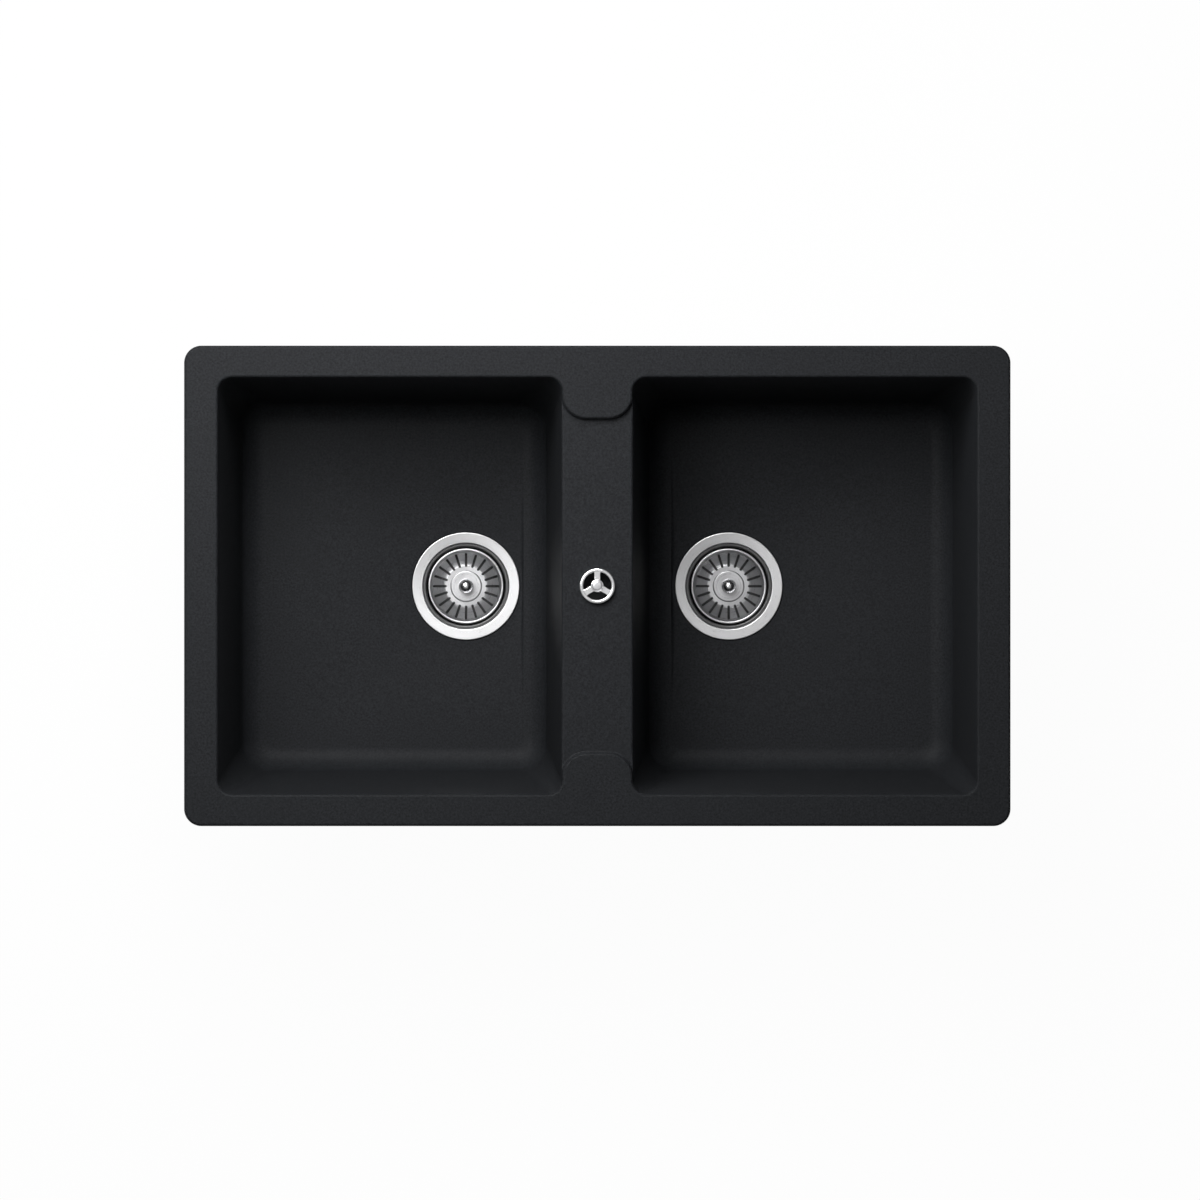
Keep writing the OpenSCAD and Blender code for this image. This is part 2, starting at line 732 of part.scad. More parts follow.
// Bent strip: its heel stands against the boss, its toe presses the worktop from below
module clamp_brackets() {
    heel_x = 1 - boss_r;
    slot_r = clamp_screw_r + 0.4;
    slot_len = bracket_reach / 3;
    outline = bent_path([
        [heel_x + bracket_t / 2, -boss_h, 0],
        [heel_x + bracket_t / 2, bracket_z - bracket_t / 2, bracket_t],
        [bracket_reach - bracket_t / 2, bracket_z - bracket_t / 2, bracket_t],
        [bracket_reach - bracket_t / 2, -worktop_t, 0]
    ]);
    color("#b9bcc0") at_clamps() difference() {
        rotate([90, 0, 0]) translate([0, 0, -bracket_w / 2]) linear_extrude(bracket_w)
            polygon(sheet_outline(outline, bracket_t));
        translate([0, 0, bracket_z - bracket_t - cut_over]) linear_extrude(bracket_t + 2 * cut_over) {
            for (x = [0, slot_len]) translate([x, 0]) circle(r = slot_r);
            translate([0, -slot_r]) square([slot_len, 2 * slot_r]);
        }
        translate([bracket_reach - bracket_t - cut_over, -bracket_w / 6, -worktop_t - 2])
            cube([bracket_t + 2 * cut_over, bracket_w / 3, 2 + cut_over]);
    }
}

module clamp_screws() {
    head_h = 3;
    head_z = bracket_z - bracket_t - head_h;
    color("#c3c6c9") at_clamps() difference() {
        union() {
            translate([0, 0, head_z]) cylinder(r = clamp_screw_r * 1.9, h = head_h);
            translate([0, 0, head_z]) cylinder(r = clamp_screw_r, h = insert_len - boss_h - 0.5 - head_z);
        }
        for (a = [0, 90]) rotate([0, 0, a]) translate([-clamp_screw_r, -0.5, head_z - cut_over])
            cube([2 * clamp_screw_r, 1, cut_over + 1.5]);
    }
}

// Strainer cup with its flange: one pressed sheet with a ledge, three windows and a bolt hole
module strainer_cup() {
    half = cup_sheet_t / 2;
    path = bent_path([
        [flange_r, -half, 0],
        [step_r + half, -half, 0.9],
        [step_r + half, -ledge_depth - half, 0.9],
        [cup_r + half, -ledge_depth - half, 1.2],
        [cup_r + half, cup_floor - half, 3.5],
        [bolt_r + 0.15, cup_floor - half, 0]
    ]);
    window_r = (throat_r + bolt_head_r + 0.8) / 2;
    color("#c9cbcd") difference() {
        rotate_extrude() polygon(sheet_outline(path, cup_sheet_t));
        translate([0, 0, cup_under - cut_over]) linear_extrude(cup_sheet_t + 2 * cut_over) difference() {
            circle(r = throat_r);
            circle(r = bolt_head_r + 0.8);
            for (a = [0:120:240]) rotate(a) translate([window_r, 0]) square([2 * window_r, 4], center = true);
        }
    }
}

module flange_seal() {
    color("#202122") ring(drain_bore_r + countersink_h + 0.5, flange_r - 0.3, -recess_depth, -cup_sheet_t);
}

module body_seal() {
    color("#202122") ring(drain_bore_r + 0.8, body_flange_r - 1, body_top, -floor_t);
}

// Waste body: flanged pot with a hub on three ribs and a threaded outlet
module waste_pot() {
    inner_r = body_r - body_wall_t;
    difference() {
        union() {
            rotate_extrude() polygon([
                [inner_r, body_top],
                [body_flange_r, body_top],
                [body_flange_r, body_top - 4],
                [body_r, body_top - 6],
                [body_r, -body_depth],
                [outlet_r, outlet_top],
                [outlet_r, outlet_end],
                [outlet_bore_r, outlet_end],
                [outlet_bore_r, outlet_top + 1],
                [inner_r, 2 - body_depth]
            ]);
            translate([0, 0, hub_bottom]) cylinder(r = hub_body_r, h = hub_top - hub_bottom);
            for (a = [60:120:300]) rotate([0, 0, a]) translate([hub_body_r - 2, -2, hub_bottom])
                cube([inner_r - hub_body_r + 3, 4, 12]);
        }
        translate([0, 0, hub_bottom - cut_over]) cylinder(r = nut_r + run_fit, h = nut_h + cut_over);
        translate([0, 0, hub_bottom]) cylinder(r = bolt_r + 0.25, h = hub_top - hub_bottom + cut_over);
        // Runout groove of the outlet thread, then the grip flutes round the flange
        translate([0, 0, outlet_top + 0.5]) ring(outlet_r - 0.8, outlet_r + 2, -2.5, 0);
        for (a = [15:30:345]) rotate([0, 0, a]) translate([body_flange_r + 1, 0, body_top - 5])
            cylinder(r = 2.5, h = 5 + cut_over, $fn = 32);
    }
}

module left_waste_body() {
    color("#3a3c3f") at_left_waste() difference() {
        union() {
            waste_pot();
            translate([body_r - 1.5, 0, port_level]) rotate([0, 90, 0])
                cylinder(r = spigot_r, h = port_end - body_r + 1.5);
        }
        translate([body_r - body_wall_t - 4, 0, port_level]) rotate([0, 90, 0])
            cylinder(r = hose_bore_r, h = port_end - body_r + body_wall_t + 5);
    }
}

// Two screw lugs on opposite sides of a round box or flange of radius r
module box_lugs(r, place_r, h, angle) {
    root_r = r - box_wall_t / 2;
    for (a = [angle, angle + 180]) rotate([0, 0, a]) {
        translate([place_r, 0, 0]) cylinder(r = lug_r, h = h, $fn = 48);
        translate([root_r, -lug_r, 0]) cube([place_r - root_r, 2 * lug_r, h]);
    }
}

module right_waste_body() {
    color("#3a3c3f") at_right_waste() difference() {
        union() {
            waste_pot();
            translate([boss_in_x, shaft_y, shaft_level]) rotate([0, 90, 0])
                cylinder(r = boss_body_r, h = boss_out_x - boss_in_x);
            translate([boss_out_x - port_flange_t, shaft_y, shaft_level]) rotate([0, 90, 0]) {
                cylinder(r = box_r, h = port_flange_t);
                box_lugs(box_r, lug_place_r, port_flange_t, lug_angle);
            }
        }
        translate([boss_in_x - cut_over, shaft_y, shaft_level]) rotate([0, 90, 0])
            cylinder(r = shaft_r + run_fit, h = boss_out_x - boss_in_x + 2 * cut_over);
        translate([boss_out_x - o_ring_seat_h, shaft_y, shaft_level]) rotate([0, 90, 0])
            cylinder(r = shaft_r + o_ring_seat_w, h = o_ring_seat_h + cut_over);
        translate([boss_out_x - port_flange_t + cut_over, shaft_y, shaft_level]) rotate([0, 90, 0])
            for (a = [lug_angle, lug_angle + 180]) rotate([0, 0, a]) translate([lug_place_r, 0, 0])
                cylinder(r = small_screw_r + run_fit, h = port_flange_t, $fn = 32);
    }
}

module hub_nut() {
    color("#b08d3e") ring(bolt_r + run_fit, nut_r, hub_bottom, hub_bottom + nut_h);
}

// Hollow bolt: the stem and the lift pin run in its bore
module centre_bolt() {
    color("#c3c6c9") difference() {
        rotate_extrude() polygon([
            [stem_r + 0.08, bolt_end],
            [bolt_r, bolt_end],
            [bolt_r, cup_floor],
            [bolt_head_r, cup_floor],
            [bolt_head_r, cup_floor + bolt_head_h - 0.6],
            [bolt_head_r - 0.6, cup_floor + bolt_head_h],
            [stem_r + 0.08, cup_floor + bolt_head_h]
        ]);
        translate([-bolt_head_r - cut_over, -0.9, cup_floor + bolt_head_h - 1.2])
            cube([2 * bolt_head_r + 2 * cut_over, 1.8, 1.2 + cut_over]);
    }
}

// Basket: one pressed sheet, with slots that cut teeth into the edge of the plateau
module slot_plan() {
    end_r = slot_w / 2;
    for (i = [0:slot_count - 1]) rotate(360 * i / slot_count) {
        translate([slot_in_r + end_r, -end_r]) square([slot_out_r - slot_in_r - slot_w, slot_w]);
        translate([slot_in_r + end_r, 0]) circle(r = end_r, $fn = 24);
        translate([slot_out_r - end_r, 0]) circle(r = end_r, $fn = 24);
    }
}

module strainer_basket() {
    half = basket_sheet_t / 2;
    path = bent_path([
        [basket_r - half, -basket_sink - 3, 0],
        [basket_r - half, -basket_sink - half, 0.8],
        [basket_r - 2.5, -basket_sink - half, 1],
        [basket_floor_r, dish_rise - basket_depth - half, 2],
        [dish_bend_r, dish_foot_rise - basket_depth - half, 2],
        [plateau_r + 0.7, -basket_depth - half, 0.6],
        [plateau_r - 0.2, plateau_h - basket_depth - half, 0.6],
        [disc_r + 0.5, plateau_h - basket_depth - half, 0.6],
        [disc_r - 0.2, basket_disc_top - half, 0.6],
        [stem_r + run_fit, basket_disc_top - half, 0]
    ]);
    color("#cfd1d3") difference() {
        rotate_extrude() polygon(sheet_outline(path, basket_sheet_t));
        translate([0, 0, -basket_depth - 2 * basket_sheet_t])
            linear_extrude(2.5 * basket_sheet_t + dish_rise) slot_plan();
    }
}

module basket_seal() {
    seal_bottom = cup_floor + seat_gap;
    color("#202122") rotate_extrude() polygon([
        [stem_hub_r + 0.2, seal_bottom + 1.2],
        [stem_hub_r + 1.4, seal_bottom],
        [seal_outer_r - 1, seal_bottom],
        [seal_outer_r, seal_bottom + 1],
        [seal_outer_r - 0.8, seal_top],
        [stem_hub_r + 0.2, seal_top]
    ]);
}

module basket_stem() {
    neck_r = 6;
    color("#b9bcc0") rotate_extrude() polygon([
        [0, stem_end],
        [stem_r - 0.8, stem_end],
        [stem_r, stem_end + 0.8],
        [stem_r, seal_top - stem_hub_h],
        [stem_hub_r, seal_top - stem_hub_h],
        [stem_hub_r, seal_top],
        [stem_flange_r, seal_top],
        [stem_flange_r, stem_flange_top],
        [neck_r, stem_flange_top],
        [neck_r, basket_disc_top - basket_sheet_t],
        [stem_r, basket_disc_top - basket_sheet_t],
        [stem_r, basket_disc_top + 6],
        [0, basket_disc_top + 6]
    ]);
}

// Polished ball on a waisted neck, screwed on the stem
module basket_knob() {
    foot_r = 5;
    neck_r = 3.9;
    ball_z = basket_disc_top + ball_h;
    neck_angle = acos(neck_r / ball_r);
    color("#d9dadb") rotate_extrude() polygon(concat(
        [
            [stem_r + run_fit, basket_disc_top],
            [foot_r, basket_disc_top],
            [foot_r, basket_disc_top + 0.6],
            [neck_r, basket_disc_top + 2]
        ],
        arc_points(0, ball_z, ball_r, -neck_angle, 90, 16),
        [[0, basket_disc_top + 6.5], [stem_r + run_fit, basket_disc_top + 6.5]]
    ));
}

// Lift pin: it slides in the centre bolt and its foot rests on the crank's finger
module lift_pin() {
    color("#c3c6c9") at_right_waste() rotate_extrude() polygon([
        [0, pin_foot],
        [pin_foot_r - 0.5, pin_foot],
        [pin_foot_r, pin_foot + 0.5],
        [pin_foot_r, pin_foot + pin_foot_t],
        [stem_r, pin_foot + pin_foot_t],
        [stem_r, pin_top - 0.5],
        [stem_r - 0.5, pin_top],
        [0, pin_top]
    ]);
}

// Shaft with its collar, crank web and finger, drawn in the closed position
module lift_shaft() {
    collar_x = boss_in_x - seat_gap;
    web_end_r = finger_r + 1.7;
    shaft_end = pulley_in_x + pulley_w - 0.5;
    color("#c3c6c9") at_right_waste() translate([0, shaft_y, shaft_level]) difference() {
        union() {
            translate([web_in_x, 0, 0]) rotate([0, 90, 0]) cylinder(r = shaft_r, h = shaft_end - web_in_x);
            translate([collar_x - 3, 0, 0]) rotate([0, 90, 0]) cylinder(r = shaft_r + 2, h = 3);
            rotate([-shaft_turn / 2, 0, 0]) {
                translate([web_in_x, 0, -web_end_r]) cube([web_t, crank_r, 2 * web_end_r]);
                translate([web_in_x, crank_r, 0]) rotate([0, 90, 0]) cylinder(r = web_end_r, h = web_t);
                translate([-pin_foot_r, crank_r, 0]) rotate([0, 90, 0])
                    cylinder(r = finger_r, h = web_in_x + pin_foot_r + 1);
            }
        }
        translate([shaft_end - 10, 0, 0]) rotate([0, 90, 0]) cylinder(r = 2, h = 10 + cut_over);
    }
}

module shaft_o_ring() {
    color("#202122") at_right_waste() translate([boss_out_x - o_ring_seat_h / 2, shaft_y, shaft_level])
        rotate([0, 90, 0]) o_ring(shaft_r + 1.1, 1);
}

// Grooved wheel for the cable's wire: pitch radius, width and bore
module cable_wheel(pitch_r, w, bore_r) {
    groove_r = pitch_r - wire_r - wire_gap;
    rotate_extrude() polygon([
        [bore_r, 0],
        [groove_r + groove_depth, 0],
        [groove_r + groove_depth, w / 4],
        [groove_r, w / 2 - wire_r - 0.3],
        [groove_r, w / 2 + wire_r + 0.3],
        [groove_r + groove_depth, 3 * w / 4],
        [groove_r + groove_depth, w],
        [bore_r, w]
    ]);
}

module shaft_pulley() {
    color("#d8d8d4") at_right_waste() translate([pulley_in_x, shaft_y, shaft_level]) rotate([0, 90, 0])
        cable_wheel(pulley_r, pulley_w, shaft_r + press_gap);
}

module pulley_screw() {
    color("#c3c6c9") at_right_waste() translate([pulley_in_x + pulley_w, shaft_y, shaft_level])
        rotate([0, 90, 0]) {
            cylinder(r = shaft_r + 1, h = 1.6);
            translate([0, 0, -9]) cylinder(r = 1.95, h = 10);
        }
}

// Round box about Z, open at its top, with two lugs and a boss for the cable's ferrule along +Y
module cable_box(r, h, floor_hole_r, lug_at_r, lug_at_angle, boss_x, boss_level, boss_end) {
    difference() {
        union() {
            cylinder(r = r, h = h);
            box_lugs(r, lug_at_r, h, lug_at_angle);
            translate([boss_x, 0, boss_level]) rotate([-90, 0, 0]) cylinder(r = ferrule_boss_r, h = boss_end);
        }
        translate([0, 0, box_wall_t]) cylinder(r = r - box_wall_t, h = h);
        if (floor_hole_r > 0) translate([0, 0, -cut_over])
            cylinder(r = floor_hole_r, h = box_wall_t + 2 * cut_over);
        translate([boss_x, 0, boss_level]) rotate([-90, 0, 0])
            cylinder(r = ferrule_r + run_fit, h = boss_end + cut_over, $fn = 48);
        for (a = [lug_at_angle, lug_at_angle + 180]) rotate([0, 0, a]) translate([lug_at_r, 0, -cut_over])
            cylinder(r = small_screw_r + 0.15, h = h + 2 * cut_over, $fn = 32);
    }
}

// Local Z of the actuator points from the waste to the middle of the sink, local X points down
module at_actuator() {
    at_right_waste() translate([boss_out_x, shaft_y, shaft_level]) rotate([0, 90, 0]) children();
}

module actuator_box() {
    color("#3a3c3f") at_actuator()
        cable_box(box_r, box_len, shaft_r + 0.6, lug_place_r, lug_angle, pulley_r,
            pulley_in_x + pulley_w / 2 - boss_out_x, actuator_boss_end);
}

module actuator_cover() {
    color("#3a3c3f") at_actuator() translate([0, 0, box_len]) difference() {
        union() {
            cylinder(r = box_r, h = box_cover_t);
            box_lugs(box_r, lug_place_r, box_cover_t, lug_angle);
        }
        for (a = [lug_angle, lug_angle + 180]) rotate([0, 0, a]) translate([lug_place_r, 0, -cut_over])
            cylinder(r = small_screw_r + 0.15, h = box_cover_t + 2 * cut_over, $fn = 32);
    }
}

module small_screw(len) {
    cylinder(r = small_screw_r, h = len, $fn = 32);
    translate([0, 0, len]) cylinder(r = 2 * small_screw_r, h = 1.8, $fn = 32);
}

module actuator_screws() {
    reach = port_flange_t - 1.5;
    color("#c3c6c9") at_actuator() for (a = [lug_angle, lug_angle + 180]) rotate([0, 0, a])
        translate([lug_place_r, 0, -reach]) small_screw(reach + box_len + box_cover_t);
}

// Overflow collar: flanged tube through the bridge, with the spindle's upper bearing on three arms
module overflow_collar() {
    inner_r = collar_r - collar_wall_t;
    color("#2c2e30") difference() {
        union() {
            ring(inner_r, collar_flange_r, collar_top - collar_flange_t, collar_top);
            ring(inner_r, collar_r, collar_end, collar_top);
            translate([0, 0, spider_top - spider_h]) {
                cylinder(r = bearing_r, h = spider_h);
                for (a = [90, 210, 330]) rotate([0, 0, a]) translate([0, -spider_arm_w / 2, 0])
                    cube([inner_r + 1, spider_arm_w, spider_h]);
            }
        }
        translate([0, 0, spider_top - spider_h - cut_over])
            cylinder(r = spindle_r + run_fit, h = spider_h + 2 * cut_over);
    }
}

module collar_seal() {
    color("#202122") ring(collar_r + 0.1, collar_flange_r, bridge_z, bridge_z + collar_seal_t);
}

// Overflow housing: threaded neck for the collar, chamber, spindle boss and side spigot
module overflow_housing() {
    chamber_r = collar_r + run_fit;
    color("#3a3c3f") difference() {
        union() {
            difference() {
                union() {
                    translate([0, 0, housing_bottom])
                        cylinder(r = housing_r, h = housing_top - housing_bottom);
                    translate([0, 0, housing_top - housing_flange_t])
                        cylinder(r = housing_flange_r, h = housing_flange_t);
                    translate([0, 0, spigot_level]) rotate([90, 0, 0])
                        cylinder(r = spigot_r, h = spigot_end);
                }
                translate([0, 0, chamber_floor])
                    cylinder(r = chamber_r, h = housing_top - chamber_floor + cut_over);
                translate([0, 3 - chamber_r, spigot_level]) rotate([90, 0, 0])
                    cylinder(r = hose_bore_r, h = spigot_end);
            }
            translate([0, 0, chamber_floor - 1]) cylinder(r = spindle_boss_r, h = spindle_boss_h + 1);
        }
        translate([0, 0, housing_bottom - cut_over])
            cylinder(r = spindle_r + run_fit, h = housing_floor_t + spindle_boss_h + 2 * cut_over);
        translate([0, 0, chamber_floor + spindle_boss_h - o_ring_seat_h])
            cylinder(r = spindle_r + o_ring_seat_w, h = o_ring_seat_h + cut_over);
        for (a = [0, 180]) rotate([0, 0, a]) translate([drum_lug_place_r, 0, housing_bottom - cut_over])
            cylinder(r = small_screw_r + run_fit, h = drum_screw_bite + 1 + cut_over, $fn = 32);
    }
}

module housing_seal() {
    color("#202122") ring(collar_bore_r + 0.5, housing_flange_r, housing_top, bridge_under_z);
}

// Control knob: rounded ring, three waisted spokes and a hub with a recess for the cap
module spoke_plan() {
    length = knob_r - knob_ring_w / 2 - hub_r + 1;
    width = spoke_w + 2.4;
    mid = hub_r - 1 + length / 2;
    waist_r = 10;
    difference() {
        translate([mid - length / 2, -width / 2]) square([length, width]);
        for (sy = [-1, 1]) translate([mid, sy * (spoke_w / 2 + waist_r)]) circle(r = waist_r);
    }
}

module control_knob() {
    round_r = knob_ring_w / 2;
    color("#e3e4e5") difference() {
        union() {
            rotate_extrude() polygon(concat(
                [
                    [knob_r - knob_ring_w, knob_z + 0.4],
                    [knob_r - knob_ring_w + 0.4, knob_z],
                    [knob_r - 0.4, knob_z],
                    [knob_r, knob_z + 0.4]
                ],
                arc_points(knob_r - round_r, knob_z + knob_ring_h - round_r, round_r, 0, 180, 10)
            ));
            for (a = [90, 210, 330]) rotate([0, 0, a]) translate([0, 0, knob_z + 1.3])
                linear_extrude(spoke_t) spoke_plan();
            rotate_extrude() polygon([
                [0, knob_z],
                [hub_r - 0.3, knob_z],
                [hub_r, knob_z + 0.3],
                [hub_r, hub_top_z - 0.4],
                [hub_r - 0.4, hub_top_z],
                [0, hub_top_z]
            ]);
        }
        translate([0, 0, knob_z - cut_over])
            cylinder(r = spindle_r + press_gap, h = spindle_top - knob_z + cut_over);
        translate([0, 0, spindle_top - cut_over]) cylinder(r = small_screw_r + 0.15, h = hub_h, $fn = 32);
        translate([0, 0, hub_top_z - cap_recess]) cylinder(r = cap_r + 0.1, h = cap_recess + cut_over);
    }
}

module knob_screw() {
    seat_z = hub_top_z - cap_recess;
    color("#c3c6c9") {
        translate([0, 0, seat_z - knob_screw_len]) cylinder(r = small_screw_r, h = knob_screw_len, $fn = 32);
        translate([0, 0, seat_z]) cylinder(r = 2 * small_screw_r, h = cap_recess - cap_t - 0.1, $fn = 32);
    }
}

// Plain cap with a short skirt
module knob_cap() {
    seat_z = hub_top_z - cap_recess;
    color("#dcdddf") rotate_extrude() polygon([
        [0, hub_top_z - cap_t],
        [cap_r - 1, hub_top_z - cap_t],
        [cap_r - 1, seat_z],
        [cap_r, seat_z],
        [cap_r, hub_top_z - 0.2],
        [cap_r - 0.6, hub_top_z + 0.1],
        [0, hub_top_z + 0.4]
    ]);
}

module control_spindle() {
    groove_z = drum_top - drum_h - 0.1 - clip_t;
    groove_r = spindle_r - 0.55;
    color("#b9bcc0") difference() {
        rotate_extrude() polygon([
            [0, spindle_end],
            [spindle_r - 0.4, spindle_end],
            [spindle_r, spindle_end + 0.4],
            [spindle_r, groove_z],
            [groove_r, groove_z],
            [groove_r, groove_z + clip_t],
            [spindle_r, groove_z + clip_t],
            [spindle_r, spindle_top],
            [0, spindle_top]
        ]);
        translate([0, 0, spindle_top - knob_screw_len])
            cylinder(r = small_screw_r + run_fit, h = knob_screw_len + cut_over, $fn = 32);
    }
}

module spindle_o_ring() {
    color("#202122") translate([0, 0, chamber_floor + spindle_boss_h - o_ring_seat_h / 2])
        o_ring(spindle_r + 1.1, 1);
}

module cable_drum() {
    color("#d8d8d4") translate([0, 0, drum_top - drum_h]) cable_wheel(drum_r, drum_h, spindle_r + press_gap);
}

module drum_clip() {
    clip_z = drum_top - drum_h - 0.1 - clip_t;
    color("#b9bcc0") difference() {
        ring(spindle_r - 0.5, spindle_r + 2.2, clip_z, clip_z + clip_t);
        translate([0, 1.2 - spindle_r, clip_z - cut_over]) mirror([0, 1, 0])
            translate([-spindle_r + 1, 0, 0]) cube([2 * spindle_r - 2, 2 * spindle_r, clip_t + 2 * cut_over]);
    }
}

module drum_box() {
    box_z = housing_bottom - drum_box_h;
    color("#3a3c3f") translate([0, 0, box_z])
        cable_box(drum_box_r, drum_box_h, 0, drum_lug_place_r, 0, drum_r, drum_level - box_z, drum_boss_end);
}

module drum_box_screws() {
    color("#c3c6c9") for (a = [0, 180]) rotate([0, 0, a])
        translate([drum_lug_place_r, 0, housing_bottom + drum_screw_bite]) mirror([0, 0, 1])
            small_screw(drum_screw_bite + drum_box_h);
}

// Control cable: its sheath runs from ferrule to ferrule, its wire on to the drum and the pulley

function even_stations(total, step, r) =
    let (count = ceil(total / step)) [for (i = [0:count]) [total * i / count, r]];

module control_cable() {
    path = route_points(cable_route);
    total = lengths_along(path)[len(path) - 1];
    color("#1d1e1f") {
        loft(tube_rings(path, even_stations(total, cable_ring_step, sheath_r), cable_sides));
        translate([drum_r, 0, drum_level]) rotate([-90, 0, 0])
            cylinder(r = wire_r, h = cable_start[1] + 1, $fn = 24);
        translate([actuator_x, shaft_y, actuator_z]) rotate([-90, 0, 0])
            cylinder(r = wire_r, h = cable_end[1] - shaft_y + 1, $fn = 24);
    }
}

module at_cable_ends() {
    translate([drum_r, drum_boss_end - ferrule_hold, drum_level]) rotate([-90, 0, 0]) children();
    translate([actuator_x, shaft_y + actuator_boss_end - ferrule_hold, actuator_z]) rotate([-90, 0, 0])
        children();
}

module cable_ferrules() {
    color("#b9bcc0") at_cable_ends() difference() {
        cylinder(r = ferrule_r, h = ferrule_len, $fn = 48);
        translate([0, 0, -cut_over]) cylinder(r = wire_r + 0.3, h = ferrule_len, $fn = 24);
        translate([0, 0, ferrule_len / 2]) cylinder(r = sheath_r + run_fit, h = ferrule_len, $fn = 48);
    }
}

module cable_nuts() {
    color("#c3c6c9") at_cable_ends() translate([0, 0, ferrule_hold]) difference() {
        cylinder(r = ferrule_r + 2.2, h = cable_nut_h, $fn = 6);
        translate([0, 0, -cut_over])
            cylinder(r = ferrule_r + run_fit, h = cable_nut_h + 2 * cut_over, $fn = 48);
    }
}

// Overflow hose: flanged cuffs at both ends, ribs between them and a smooth bore

module overflow_hose() {
    path = route_points(hose_route);
    total = lengths_along(path)[len(path) - 1];
    pitch = (total - 2 * cuff_len) / rib_count;
    ribs = [for (k = [0:rib_count - 1]) each [
        [cuff_len + k * pitch, rib_r - rib_depth],
        [cuff_len + (k + 0.5) * pitch, rib_r]
    ]];
    outer = concat(
        [[0, hose_flange_r], [hose_flange_t, hose_flange_r], [hose_flange_t, cuff_r], [cuff_len - 2, cuff_r]],
        ribs,
        [
            [total - cuff_len, rib_r - rib_depth],
            [total - cuff_len + 2, cuff_r],
            [total - hose_flange_t, cuff_r],
            [total - hose_flange_t, hose_flange_r],
            [total, hose_flange_r]
        ]
    );
    color("#5b5d60") tube_shell(
        tube_rings(path, outer, hose_sides),
        tube_rings(path, even_stations(total, bore_ring_step, hose_bore_r), hose_sides)
    );
}

// Local Z leaves the spigot's end along the hose
module at_spigots() {
    translate([0, -spigot_end, spigot_level]) rotate([90, 0, 0]) children();
    translate([port_end - drain_x, 0, drain_z + port_level]) rotate([0, 90, 0]) children();
}

module hose_nuts() {
    top = hose_washer_t + hose_flange_t + hose_lip_t;
    color("#3a3c3f") at_spigots() difference() {
        translate([0, 0, top - hose_nut_len]) cylinder(r = hose_nut_r, h = hose_nut_len);
        translate([0, 0, top - hose_nut_len - cut_over])
            cylinder(r = spigot_r + run_fit, h = hose_nut_len - hose_lip_t + cut_over);
        cylinder(r = cuff_r + 0.3, h = top + cut_over);
        for (a = [0:30:330]) rotate([0, 0, a]) translate([hose_nut_r + 1.2, 0, top - hose_nut_len - cut_over])
            cylinder(r = 2, h = hose_nut_len - 3, $fn = 24);
    }
}

module hose_washers() {
    color("#202122") at_spigots() ring(hose_bore_r + 0.2, hose_flange_r, 0, hose_washer_t);
}

sink_moulding();
rim_seal_strip();
clamp_inserts();
clamp_brackets();
clamp_screws();
at_left_waste() flange_seal();  // left_flange_seal
at_left_waste() strainer_cup();  // left_strainer_cup
at_left_waste() body_seal();  // left_body_seal
left_waste_body();
at_left_waste() hub_nut();  // left_hub_nut
at_left_waste() centre_bolt();  // left_centre_bolt
at_left_waste() strainer_basket();  // left_strainer_basket
at_left_waste() basket_seal();  // left_basket_seal
at_left_waste() basket_stem();  // left_basket_stem
at_left_waste() basket_knob();  // left_basket_knob
at_right_waste() flange_seal();  // right_flange_seal
at_right_waste() strainer_cup();  // right_strainer_cup
at_right_waste() body_seal();  // right_body_seal
right_waste_body();
at_right_waste() hub_nut();  // right_hub_nut
at_right_waste() centre_bolt();  // right_centre_bolt
at_right_waste() strainer_basket();  // right_strainer_basket
at_right_waste() basket_seal();  // right_basket_seal
at_right_waste() basket_stem();  // right_basket_stem
at_right_waste() basket_knob();  // right_basket_knob
lift_pin();
lift_shaft();
shaft_o_ring();
shaft_pulley();
pulley_screw();
actuator_box();
actuator_cover();
actuator_screws();
overflow_collar();
collar_seal();
overflow_housing();
housing_seal();
control_knob();
knob_screw();
knob_cap();
control_spindle();
spindle_o_ring();
cable_drum();
drum_clip();
drum_box();
drum_box_screws();
control_cable();
cable_ferrules();
cable_nuts();
overflow_hose();
hose_nuts();
hose_washers();
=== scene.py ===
# Inset granite composite sink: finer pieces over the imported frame, materials, studio and camera.
# Sizes are in millimetres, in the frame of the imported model, and become metres as each mesh is made.
import json
import math

